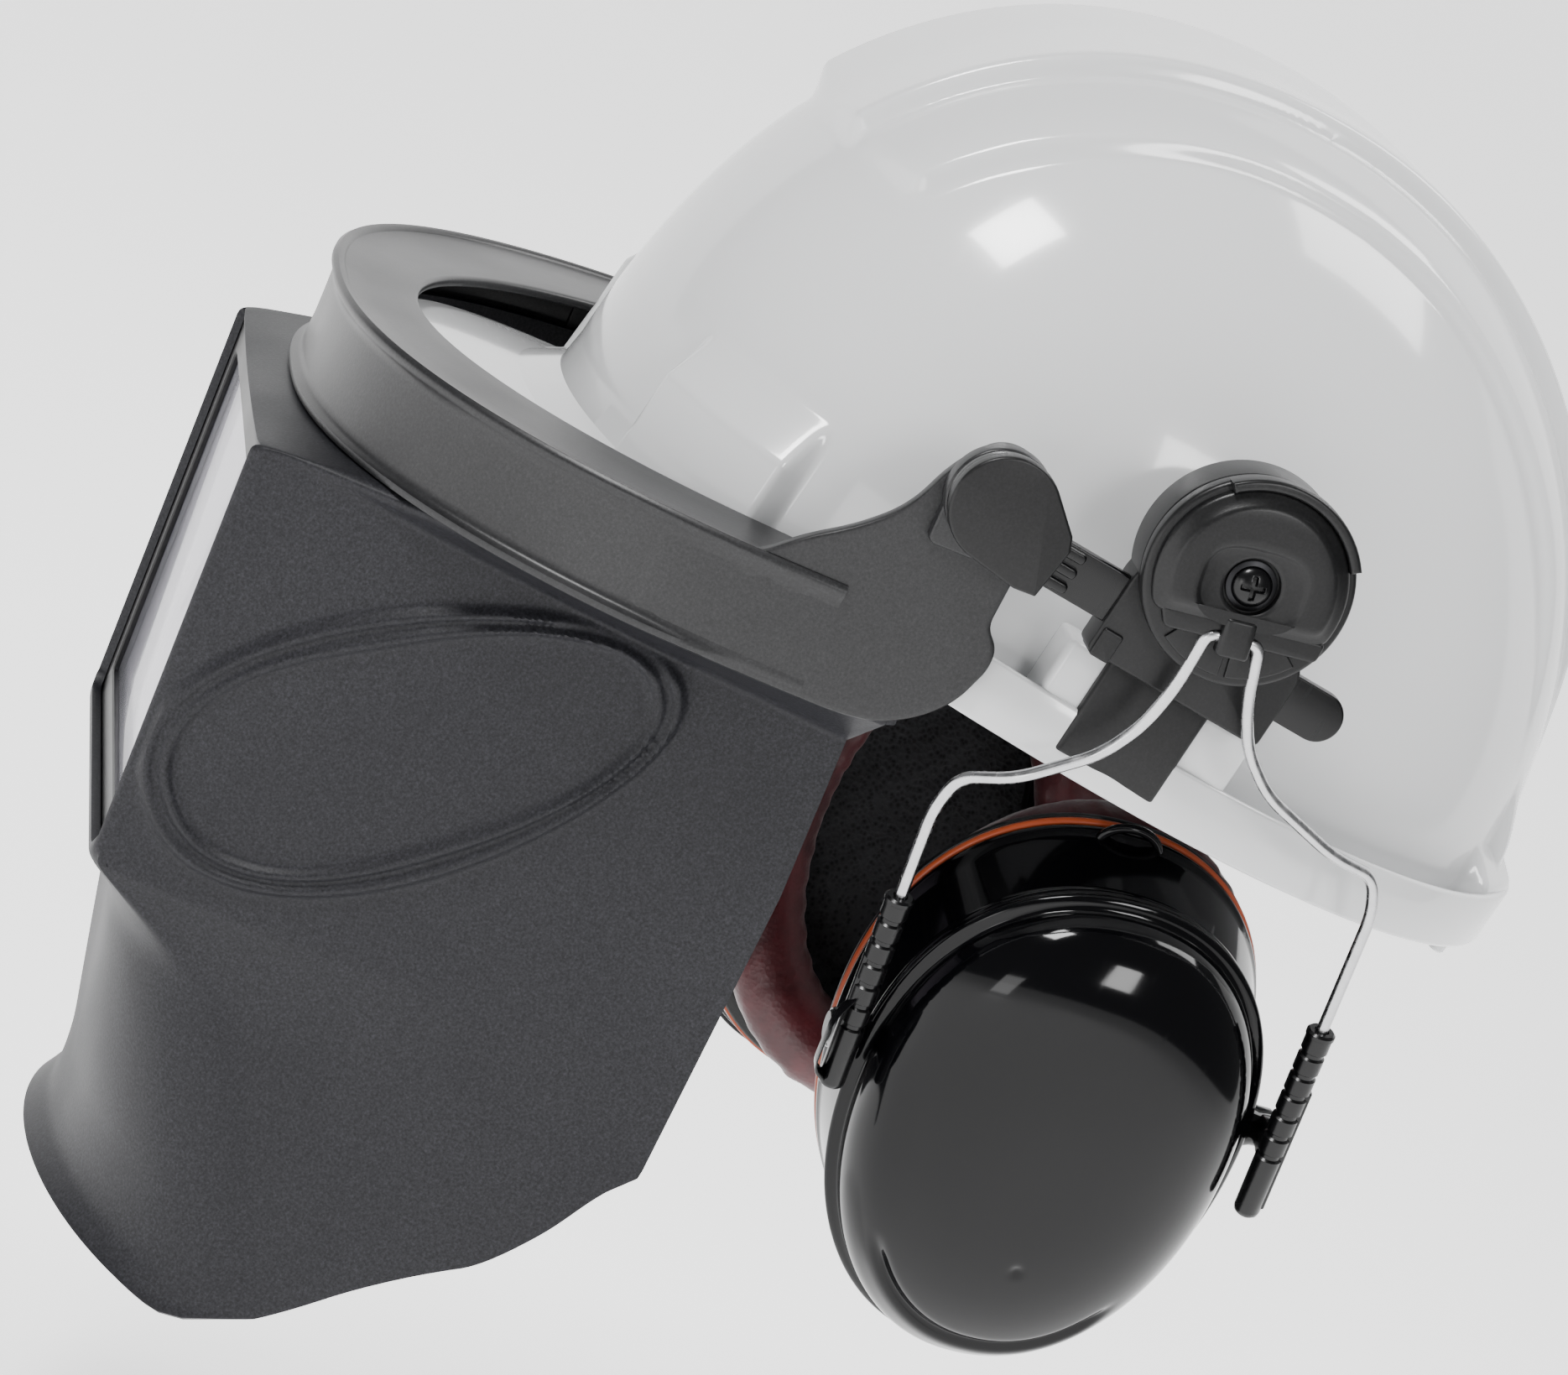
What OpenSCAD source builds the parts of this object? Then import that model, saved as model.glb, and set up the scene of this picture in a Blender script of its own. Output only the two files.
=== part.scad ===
// Safety helmet with a flip-up face shield and helmet-mounted ear muffs.
// Millimetres. +Z up, the wearer looks along -Y, and +X is the wearer's left.
// The origin is the centre of the head opening, in the plane of the lower rim.

/* [Shell] */
// Half width of the dome at its base
dome_half_width = 98; // [94:1:99]
// Height of the dome above the rim
dome_height = 141; // [134:1:144]
// Wall thickness of the moulded shell
shell_wall = 2.6; // [2.2:0.1:3]
// Half width over the rain gutter
rim_half_width = 113; // [112:0.5:113.5]
// Height of the rain gutter wall at the sides and the rear
gutter_height = 13; // [10:0.5:13]

/* [Harness] */
// Half width of the headband
band_half_width = 76; // [72:1:78]
// Height of the headband at the sides
band_height = 24; // [20:1:26]

/* [Visor] */
// Tilt of the lowered visor about its pivots
visor_tilt = 8.5; // [8:0.1:9]
// Half width of the visor carrier
carrier_half_width = 112.5; // [112:0.1:113]
// Height of the carrier band
carrier_band = 26; // [22:1:27]
// Half width of the window box
box_half_width = 60; // [58:0.5:61]
// Width of the standard filter glass
glass_width = 110; // [108:0.5:110]
// Height of the standard filter glass
glass_height = 90; // [88:0.5:90]

/* [Ear muffs] */
// Turn of the wearer's left muff about its adaptor
turn_left = 16; // [14:0.5:17]
// Turn of the wearer's right muff about its adaptor
turn_right = 8; // [6:0.5:12]
// How far the wearer's right cup is slid up its wires
lift_right = 8; // [4:0.5:9]
// Inward lean of each wire yoke with no head between the cups
lean = 12; // [11:0.5:13]
// Length of an ear cup
cup_length = 126; // [118:1:127]
// Width of an ear cup
cup_width = 88; // [84:1:89]
// Radius of the yoke wire
wire_r = 1.4; // [1.3:0.05:1.5]

/* [Hidden] */
$fn = 48;

black = [0.07, 0.07, 0.08];
graphite = [0.20, 0.20, 0.22];
white = [0.86, 0.87, 0.88];
steel = [0.72, 0.73, 0.74];

// ---------- Outlines and surfaces ----------

function mix(a, b, t) = a + (b - a) * t;
function clamp01(t) = min(1, max(0, t));
function smooth(t) = let (c = clamp01(t)) c * c * (3 - 2 * c);

// Point of a closed plan curve at angle a, front half and rear half with their own length
function oval_point(a, half_w, front, rear, yc, n_front, n_rear) =
    let (s = sin(a), c = cos(a), n = s < 0 ? n_front : n_rear, b = s < 0 ? front : rear)
    [half_w * sign(c) * pow(abs(c), 2 / n), yc + b * sign(s) * pow(abs(s), 2 / n)];

// Faces of a skin through closed rings of n points, with a tip point at each end
function tipped_skin_faces(n, rings) = concat(
    [for (i = [0:n - 1]) [0, 1 + (i + 1) % n, 1 + i]],
    [for (k = [0:rings - 2], i = [0:n - 1])
        [1 + k * n + i, 1 + k * n + (i + 1) % n, 1 + (k + 1) * n + (i + 1) % n]],
    [for (k = [0:rings - 2], i = [0:n - 1])
        [1 + k * n + i, 1 + (k + 1) * n + (i + 1) % n, 1 + (k + 1) * n + i]],
    [for (i = [0:n - 1])
        [1 + rings * n, 1 + (rings - 1) * n + i, 1 + (rings - 1) * n + (i + 1) % n]]);

// Faces of a torus-like skin: rings of n points, the last ring joined to the first
function looped_skin_faces(n, rings) = concat(
    [for (k = [0:rings - 1], i = [0:n - 1])
        [k * n + i, k * n + (i + 1) % n, ((k + 1) % rings) * n + (i + 1) % n]],
    [for (k = [0:rings - 1], i = [0:n - 1])
        [k * n + i, ((k + 1) % rings) * n + (i + 1) % n, ((k + 1) % rings) * n + i]]);

module on_left() { children(); }
module on_right() { mirror([1, 0, 0]) children(); }

// ---------- Shell ----------

shell_n = 64;
dome_rings = 11;
dome_yc = 5;
dome_front = 124;
dome_rear = 125;
peak_front = 167;
rim_rear = 130;
floor_z = 1.6;
rim_z = -1;

// The gutter wall runs down to nothing where the peak begins
function wall_top(y) = mix(floor_z + 0.1, gutter_height, clamp01((y + 72) / 38));
// The peak slopes down towards its front edge
function droop(y) = -0.105 * max(0, -y - 60);
function dome_power(a) = sin(a) < 0 ? mix(2.15, 2.3, -sin(a)) : mix(2.15, 1.9, sin(a));

// Sockets of the harness stand out of the dome as four low blocks
socket_at = [[70, -93, 20], [48, 112, 16]];
function socket_bump(x, y, z) = max([for (s = socket_at)
    let (d = norm([abs(x) - s[0], y - s[1]])) z < 30 && d < 20 ? 3.2 * smooth((20 - d) / 7) : 0]);

function dome_ring(z, inset) = [for (i = [0:shell_n - 1])
    let (a = i * 360 / shell_n,
         p = dome_power(a),
         h = dome_height - inset,
         f = pow(max(0, 1 - pow(max(0, z) / h, p)), 1 / p),
         o = oval_point(a, dome_half_width, dome_front, dome_rear, 0, 2.15, 2.05),
         r = norm(o) * f,
         u = o / norm(o),
         b = socket_bump(u[0] * r, u[1] * r + dome_yc, z))
    [u[0] * (r - inset + b), u[1] * (r - inset + b) + dome_yc, z]];

function rim_ring(inset, level) = [for (i = [0:shell_n - 1])
    let (a = i * 360 / shell_n,
         o = oval_point(a, rim_half_width, peak_front, rim_rear, dome_yc, 1.85, 2.05),
         c = [0, dome_yc],
         u = (o - c) / norm(o - c),
         q = o - u * inset,
         z = level == "top" ? wall_top(q[1]) : level == "floor" ? floor_z : rim_z)
    [q[0], q[1], z + droop(q[1])]];

function ring_heights(inset) = [for (k = [1:dome_rings])
    (dome_height - inset) * cos(90 * pow(k / (dome_rings + 0.001), 0.9))];

module shell_skin() {
    outer = [for (z = ring_heights(0)) each dome_ring(max(z, floor_z + 1), 0)];
    inner_z = ring_heights(shell_wall);
    inner = [for (k = [dome_rings - 1:-1:0]) each dome_ring(max(inner_z[k], rim_z + 0.4), shell_wall)];
    points = concat([[0, dome_yc, dome_height]], outer,
        rim_ring(shell_wall + 0.2, "floor"), rim_ring(shell_wall, "top"), rim_ring(0, "top"),
        rim_ring(0, "low"), rim_ring(shell_wall, "low"),
        inner, [[0, dome_yc, dome_height - shell_wall]]);
    polyhedron(points, tipped_skin_faces(shell_n, 2 * dome_rings + 5), convexity = 6);
}

module shell() color(white) shell_skin();

// ---------- Harness ----------

band_yc = 2;
band_half_len = 97;
band_low = -1;
strap_t = 1.6;
strap_w = 19;
strap_y = 16;
// Height at which the straps hang from the shell, just above the headband
strap_z = 24.5;
strap_rise = 81.5;
cross_half_span = 102;
side_half_span = 86;

// Plan outline of an oval band, offset inwards
module band_plan(inset) {
    half_len = band_half_len - inset;
    polygon([for (i = [0:71])
        oval_point(i * 5, band_half_width - inset, half_len, half_len, band_yc, 2.1, 2.1)]);
}

// One strap arched over the head, in the XZ plane
module arch(half_span) {
    rotate([90, 0, 0])
        linear_extrude(strap_w, center = true)
            polygon(concat(
                [for (i = [0:24]) [half_span * cos(i * 7.5), strap_z + strap_rise * sin(i * 7.5)]],
                [for (i = [24:-1:0])
                    [(half_span - strap_t) * cos(i * 7.5),
                        strap_z + (strap_rise - strap_t) * sin(i * 7.5)]]));
}

module cradle() color(white) {
    // The crossed straps run from a front socket to the rear socket of the other side
    for (side = [1, -1])
        translate([-4 * side, 9, 0]) rotate([0, 0, 60 * side]) arch(cross_half_span);
    translate([0, strap_y, 0]) arch(side_half_span);
}

// Part of the band's outline between two y values
module band_wall(outer, inner, from_y, to_y) {
    difference() {
        band_plan(outer);
        band_plan(inner);
        translate([-100, to_y]) square([200, 200]);
        translate([-100, from_y - 200]) square([200, 200]);
    }
}

module headband() color(graphite)
    translate([0, 0, band_low]) linear_extrude(band_height) band_wall(0, 1.8, -200, 54);

module sweatband() color(black)
    translate([0, 0, band_low + 1]) linear_extrude(band_height - 2) band_wall(2.2, 6.2, -200, -30);

module nape_strap() color(graphite) linear_extrude(14) band_wall(2.6, 4.4, 40, 200);

// ---------- Adaptors ----------

adaptor_y = 2;
adaptor_z = 58;
blade_z = 39.4;
blade_h = 11.4;
blade_x = 117.6;
blade_t = 3;
plate_x = 124.4;
plate_r = 23;

// Turns children so that their z axis points outwards along +X from a given x
module outward(x, y, z) { translate([x, y, z]) rotate([0, 90, 0]) children(); }

base_x = 112;
screw_r = 2;
// Frame of a turned muff: origin at the adaptor axis
module in_turn(turn) {
    translate([0, adaptor_y, adaptor_z]) rotate([turn, 0, 0]) children();
}
// Foot that drops into the rain gutter beside the dome
foot_x = 99;
foot_y = -9;
foot_w = 26;
foot_z = 3.1;
foot_t = 10;
block_t = 10;

module adaptor_base() color(black)
    difference() {
        union() {
            outward(base_x, adaptor_y, adaptor_z)
                cylinder(r = plate_r - 1.5, h = plate_x - base_x - 0.4);
            translate([base_x, -18, 27]) cube([block_t, 44, 22]);
            translate([foot_x, foot_y, 22]) cube([base_x - foot_x + 1, foot_w, 8]);
            translate([foot_x, foot_y, foot_z]) cube([foot_t, foot_w, 20]);
        }
        outward(base_x - 1, adaptor_y, adaptor_z) cylinder(r = screw_r, h = 14);
        translate([blade_x - 0.3, -40, blade_z - blade_h / 2 - 0.3])
            cube([blade_t + 0.6, 80, blade_h + 0.6]);
        for (k = [0:5]) outward(plate_x - 2.9, adaptor_y, adaptor_z)
            rotate([0, 0, 150 + k * 12]) translate([18, -0.7, 0]) cube([5, 1.4, 4]);
    }

disc_t = 4.6;
cap_t = 8.6;
cap_r = 19.5;
cap_low = -9.5;
recess_r = 6.2;
bar_off = 5.8;
bar_drop = 12;
bearing_half = 3.7;

// The ear muff's carrier disc: it turns on the adaptor and holds the wire.
// Two slots in its lower edge leave the wire's legs free to lean and swing.
module muff_plate(turn) color(graphite)
    in_turn(turn) difference() {
        union() {
            outward(plate_x, 0, 0) cylinder(r = plate_r, h = disc_t);
            intersection() {
                outward(plate_x + 1, 0, 0) cylinder(r = cap_r, h = cap_t - 1);
                translate([plate_x, -25, cap_low]) cube([20, 50, 40]);
            }
            translate([plate_x + 0.5, -bearing_half, -bar_drop - 4])
                cube([cap_t - 0.5, 2 * bearing_half, 9]);
        }
        outward(plate_x - 1, 0, 0) cylinder(r = screw_r + 0.6, h = 12);
        outward(plate_x + 5, 0, 0) cylinder(r = recess_r, h = 8);
        translate([plate_x + bar_off, 0, -bar_drop]) rotate([90, 0, 0])
            cylinder(r = wire_r + 0.05, h = 12, center = true);
        for (side = [1, -1])
            translate([plate_x - 1, side * 7.7 - 4, -bar_drop - 14]) cube([14, 8, 16.4]);
    }

module adaptor_screw() color(black)
    difference() {
        union() {
            outward(base_x + 1, adaptor_y, adaptor_z) cylinder(r = screw_r, h = 18);
            outward(plate_x + 6, adaptor_y, adaptor_z) cylinder(r = 4.2, h = 2);
        }
        for (turn = [20, 110]) outward(plate_x + 6.8, adaptor_y, adaptor_z) rotate([0, 0, turn])
            translate([-2.4, -0.45, 0]) cube([4.8, 0.9, 2]);
    }

module friction_washer() color(steel)
    outward(plate_x + 5.2, adaptor_y, adaptor_z) difference() {
        cylinder(r = 5.6, h = 0.7);
        translate([0, 0, -1]) cylinder(r = screw_r + 0.2, h = 3);
    }

// ---------- Ear muffs ----------

bar_x = plate_x + bar_off;
lift_left = 0;
tube_top_front = 96;
tube_top_rear = 104.5;
tube_len = 51;
tube_half = 50.5;
tube_r = 3.1;
muff_shift = 4.5;
step_in = 8;
cup_drop = 150;
cup_out = -7;
cup_lean = 4;
// Tilt axis of the cup, from the middle of its mouth edge
pivot_x = -5.5;
pivot_up = 10;
pivot_pin_r = 2.5;
boss_end = 47.2;
wire_grip = 26;

// Frame of a leaning yoke: origin on its hinge bar, wires hang down -z
module in_yoke(turn) {
    in_turn(turn) translate([bar_x, 0, -bar_drop]) rotate([0, lean, 0]) children();
}
// Frame of a cup: x outwards, z up its length, origin in the middle of its mouth edge
module in_cup(turn, lift) {
    in_yoke(turn)
        translate([cup_out - step_in + pivot_x, muff_shift, bar_drop - cup_drop + pivot_up + lift])
            rotate([0, cup_lean, 0]) translate([-pivot_x, 0, -pivot_up]) children();
}

function tube_top(side) = side < 0 ? tube_top_front : tube_top_rear;
wire_n = 14;

// Half of the wire: outwards step, distance from the middle, height, share of the cup's shift
function wire_path(side) = [[0, 5.2, -0.3, 0], [0, 6, -3, 0], [0, 8, -14, 0], [0, 11.5, -24, 0.05],
    [0, 18, -33, 0.2], [-0.6, 28, -40, 0.45], [-1.5, 38, -46, 0.7], [-step_in + 1.5, 45.5, -51, 0.95],
    [-step_in, 49.5, -57, 1], [-step_in, tube_half, -66, 1],
    [-step_in, tube_half, bar_drop - tube_top(side) - wire_grip, 1]];
function wire_points(side) = [for (w = wire_path(side)) [w[0], side * w[1] + muff_shift * w[3], w[2]]];

// Round wire bent along a path that runs mostly in the YZ plane
module bent_wire(path) {
    last = len(path) - 1;
    rings = [for (k = [0:last])
        let (t = path[min(last, k + 1)] - path[max(0, k - 1)],
             u = t / norm(t),
             e = cross(u, [1, 0, 0]) / norm(cross(u, [1, 0, 0])),
             f = cross(u, e))
        each [for (i = [0:wire_n - 1])
            path[k] + wire_r * (e * cos(i * 360 / wire_n) - f * sin(i * 360 / wire_n))]];
    polyhedron(concat([path[0]], rings, [path[last]]), tipped_skin_faces(wire_n, last + 1),
        convexity = 6);
}

module wire_yoke(turn) color(steel)
    in_yoke(turn) {
        rotate([90, 0, 0]) cylinder(r = wire_r, h = 13, center = true);
        for (side = [1, -1]) bent_wire(wire_points(side));
    }

// Moulded tube that grips one end of the wire and carries the cup on a pin
module slider(turn, lift, side) color(black) {
    top = tube_top(side);
    // The tilt axis, seen from the tube's lower end
    ax = cup_out + pivot_x;
    az = tube_len + top - cup_drop + pivot_up;
    tube_low = bar_drop - top - tube_len + lift;
    in_yoke(turn)
        translate([-step_in, side * tube_half + muff_shift, tube_low]) difference() {
            union() {
                cylinder(r = tube_r, h = tube_len);
                for (k = [0:5])
                    translate([0, 0, tube_len - 6 - k * 5]) cylinder(r = tube_r + 0.3, h = 0.8);
                translate([ax, -1.8, az - 4]) cube([-ax, 3.6, 8]);
                translate([ax, side * 1.8, az]) rotate([side * 90, 0, 0]) cylinder(r = 4, h = 3.6);
                translate([ax, side * 1.8, az]) rotate([side * 90, 0, 0])
                    cylinder(r = pivot_pin_r, h = 9.5);
            }
            translate([0, 0, 5]) cylinder(r = wire_r + 0.05, h = tube_len);
        }
}

// Egg outline of the cup, wider towards the top
function egg(grow) = [for (i = [0:47])
    let (a = i * 7.5, y = cos(a), z = sin(a), w = cup_width / 2 * (1 + 0.07 * z))
    [(cup_length / 2 + grow) * sign(z) * pow(abs(z), 0.93), (w + grow) * sign(y) * pow(abs(y), 0.93)]];

// Slab of egg outline between two depths, measured inwards from the mouth edge
module egg_slab(from, to, grow) {
    translate([-to, 0, 0]) rotate([0, 90, 0]) rotate([0, 0, 180]) linear_extrude(to - from)
        polygon([for (p = egg(grow)) [p[0], p[1]]]);
}

module cup_body(turn, lift) color(black)
    in_cup(turn, lift) difference() {
        union() {
            egg_slab(0, 26, 1.5);
            for (side = [1, -1])
                translate([pivot_x, side * boss_end, pivot_up]) rotate([side * 90, 0, 0])
                    cylinder(r = 4.6, h = 5.2);
        }
        egg_slab(-1, 27, -1.5);
        translate([pivot_x, 0, pivot_up]) rotate([90, 0, 0])
            cylinder(r = pivot_pin_r + 0.06, h = 120, center = true);
    }

cover_rings = 7;
cover_rise = 24;
module cup_cover(turn, lift) color(black)
    in_cup(turn, lift) {
        outer = [for (k = [1:cover_rings]) let (t = 90 * k / cover_rings, f = pow(sin(t), 0.62))
            each [for (p = egg(0)) [0.3 + cover_rise * cos(t), p[1] * f, p[0] * f]]];
        inner = [for (k = [cover_rings:-1:1]) let (t = 90 * k / cover_rings, f = pow(sin(t), 0.62))
            each [for (p = egg(-2.5)) [0.3 + (cover_rise - 2.5) * cos(t), p[1] * f, p[0] * f]]];
        polyhedron(concat([[0.3 + cover_rise, 0, 0]], outer, inner, [[cover_rise - 2.2, 0, 0]]),
            tipped_skin_faces(48, 2 * cover_rings), convexity = 4);
    }

module seal_ring(turn, lift) color([0.72, 0.20, 0.08])
    in_cup(turn, lift) difference() {
        egg_slab(26, 28.2, 2.6);
        egg_slab(25, 30, -6);
    }

module cushion_plate(turn, lift) color(black)
    in_cup(turn, lift) difference() {
        egg_slab(28.2, 32.6, 2.6);
        egg_slab(27, 34, -15);
    }

cushion_n = 40;
cushion_m = 10;
cushion_shift = 4;
module ear_cushion(turn, lift) color([0.33, 0.05, 0.07])
    in_cup(turn, lift)
        polyhedron([for (i = [0:cushion_n - 1])
            let (a = i * 360 / cushion_n)
            each [for (j = [0:cushion_m - 1])
                let (b = j * 360 / cushion_m, r = 11 * cos(b),
                     w = cup_width / 2 - 8.5 + r, l = cup_length / 2 - 8.5 + r)
                [-41.6 + 8.8 * sin(b), cushion_shift + w * cos(a), -cushion_shift + l * sin(a)]]],
            [for (f = looped_skin_faces(cushion_m, cushion_n)) [f[2], f[1], f[0]]], convexity = 4);

module cup_foam(turn, lift) color([0.16, 0.16, 0.17])
    in_cup(turn, lift) egg_slab(8, 24, -3.5);

// ---------- Visor blades and pivots ----------

pivot_y = -50;
pivot_z = 44;
pivot_r = 12;
tail_y = 40;

module visor_blade() color(black)
    difference() {
        union() {
            translate([blade_x, pivot_y, blade_z - blade_h / 2])
                cube([blade_t, tail_y - pivot_y - blade_h / 2, blade_h]);
            outward(blade_x, tail_y - blade_h / 2, blade_z) cylinder(r = blade_h / 2, h = blade_t);
            outward(blade_x, pivot_y, pivot_z) cylinder(r = pivot_r, h = blade_t);
            translate([blade_x, pivot_y, pivot_z - pivot_r]) cube([blade_t, 14, 20]);
        }
        outward(blade_x - 1, pivot_y, pivot_z) cylinder(r = 4, h = 6);
        for (k = [0:2])
            translate([blade_x + blade_t - 1, pivot_y + 16 + k * 4, blade_z - 7]) cube([2, 1.6, 4.2]);
    }

module pivot_pin() color(graphite) {
    outward(blade_x + blade_t, pivot_y, pivot_z) cylinder(r = pivot_r - 0.4, h = 3.6);
    outward(110.4, pivot_y, pivot_z) cylinder(r = 4, h = blade_x + blade_t - 110.4);
}

// ---------- Visor carrier ----------

// Local visor frame: origin at the pivots, flange flat, front along -y
module in_visor() { translate([0, pivot_y, pivot_z]) rotate([visor_tilt, 0, 0]) children(); }

flange_z = -31;
flange_t = 2.5;
band_t = 2.5;
carrier_yc = 5.5;
carrier_front = 137.4;

function carrier_curve(inset) = [for (i = [0:48])
    oval_point(180 + i * 3.75, carrier_half_width - inset, carrier_front - inset, 10, carrier_yc,
        2.4, 2)];

// Region inside the carrier's plan curve, carried straight back to a given y
module carrier_plan(inset, back) {
    polygon(concat(carrier_curve(inset),
        [[carrier_half_width - inset, back], [-carrier_half_width + inset, back]]));
}

// Opening of the flange round the front of the shell
module flange_opening() {
    polygon(concat(
        [for (i = [0:31]) oval_point(192.5 + i * 5, 86, 118, 10, carrier_yc, 2.05, 2)],
        [[114, 2], [114, 40], [-114, 40], [-114, 2]]));
}

arm_x = 109.7;
arm_t = 3.3;
// Side arm in the plane of the blade, y forwards as drawn
module arm_side() {
    rotate([90, 0, 90]) linear_extrude(arm_t)
        difference() {
            union() {
                polygon([[-40, flange_z], [-36, -24.5], [-28, -18.5], [-21, -13.5], [-15, -6.5],
                    [-11, 3], [11, 0], [10.8, -16], [10.2, -27], [13.7, -30.4], [14, -35.4],
                    [10.4, -45],
                    [4.5, -51.2], [-1.1, -54.4], [-8.6, flange_z - carrier_band],
                    [-40, flange_z - carrier_band]]);
                circle(r = pivot_r);
            }
            circle(r = 4.06);
        }
}

module visor_carrier() color(graphite)
    in_visor() {
        difference() {
            translate([0, 0, flange_z - carrier_band]) linear_extrude(carrier_band) difference() {
                carrier_plan(0, 6);
                carrier_plan(band_t, 20);
                translate([-130, -9]) square([260, 40]);
            }
            // Clip notches in the lower edge
            for (side = [1, -1])
                translate([side * 104, -26, flange_z - carrier_band]) cube([20, 8, 6], center = true);
        }
        translate([0, 0, flange_z - flange_t]) linear_extrude(flange_t) difference() {
            carrier_plan(1, 6);
            flange_opening();
            translate([-130, -6]) square([260, 40]);
            for (side = [1, -1])
                translate([side * 92, -31]) rotate(side * 72) square([16, 2.6], center = true);
        }
        for (side = [0, 1]) mirror([side, 0, 0]) {
            translate([arm_x, 0, 0]) arm_side();
            translate([arm_x + arm_t - 0.5, 0, 0]) rotate([0, 90, 0]) difference() {
                cylinder(r = pivot_r - 0.2, h = 4.7);
                translate([0, 0, -1]) cylinder(r = 4.06, h = 7);
            }
        }
    }

// ---------- Face shield ----------

shield_wall = 2.2;
box_top_z = -37;
box_low_z = -138;
box_front_y = -182.5;
box_rake = 0.178;
chin_z = -210;
low_front_z = -219;
window_w = glass_width - 6;
window_h = glass_height - 6;

// Front of the shield at height z, on the centre line
function front_y(z) = z > box_low_z ? box_front_y + box_rake * (box_top_z - z)
    : z > chin_z ? mix(-152, -127, clamp01((box_low_z - 1 - z) / (box_low_z - 1 - chin_z)))
    : mix(-127, -136, (chin_z - z) / 9);
// Rear edge of the side panels
function rear_y(z) = z > -60 ? mix(-43, -36, clamp01((-22 - z) / 38))
    : mix(-36, -28, clamp01((-60 - z) / 70));
// Half width of the side panels
function side_x(q, z) = mix(box_half_width, 94, pow(q, 0.8))
    + (z < box_low_z ? -4 * (1 - q) + 8 * clamp01((chin_z - z) / 9) * (1 - q) : 0);
function crease_z(y) = box_top_z + 0.108 * (y + 182.5);
// Lower edge, high at the rear and low at the chin
function low_z(y) = y < -120 ? low_front_z : mix(low_front_z, -148, pow(clamp01((y + 120) / 92), 1.2));

side_cols = 8;
front_cols = 6;
function col_s() = concat(
    [for (i = [0:side_cols]) -1 + i / side_cols * 0.6],
    [for (i = [1:front_cols - 1]) -0.4 + i / front_cols * 0.8],
    [for (i = [0:side_cols]) 0.4 + i / side_cols * 0.6]);
row_v = [0, 0.2, 0.4, 0.544, 0.566, 0.65, 0.75, 0.85, 0.95, 1];
chin_round = 30;

// Point of the shield below the crease, at column s and row v, pulled inwards by inset
function panel_point(s, v, inset) =
    let (q = clamp01((abs(s) - 0.4) / 0.6),
         y0 = mix(-165, rear_y(-90), q),
         top = crease_z(mix(box_front_y, -43, q)),
         low = q == 0 ? low_front_z : low_z(mix(-136, -30, q)),
         z = mix(top, low, v),
         yf = front_y(z),
         r = z < box_low_z ? chin_round - inset : 0.01,
         x = (side_x(q, z) - inset) * (q == 0 ? min(1, abs(s) / 0.4) : 1),
         c = clamp01((abs(x) - (side_x(0, z) - inset - r)) / r),
         dy = q == 0 ? r * (1 - sqrt(1 - c * c)) : r,
         y = q == 0 ? yf + inset + dy : mix(yf + inset + dy, rear_y(z), q))
    [sign(s) * x, y, z];

// Upper rim, tucked up inside the carrier band
function rim_point(s, up, inset) =
    let (a = 180 + (s + 1) * 90,
         in = band_t + 0.6 + inset,
         p = oval_point(a, carrier_half_width - in, carrier_front - in, 10, carrier_yc, 2.4, 2),
         y = min(p[1], carrier_yc - 6), z = flange_z - carrier_band + up,
         c = cos(visor_tilt), n = sin(visor_tilt))
    [p[0], pivot_y + y * c - z * n, pivot_z + y * n + z * c];

function shield_grid(inset) = concat(
    [for (up = [12, -0.8]) each [for (s = col_s()) rim_point(s, up, inset)]],
    [for (v = row_v) each [for (s = col_s())
        panel_point(s, v, inset) - [0, 0, v == 0 ? inset : 0]]]);

// Two triangles of a quad
function quad(a, b, c, d) = [[a, b, c], [a, c, d]];

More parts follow.
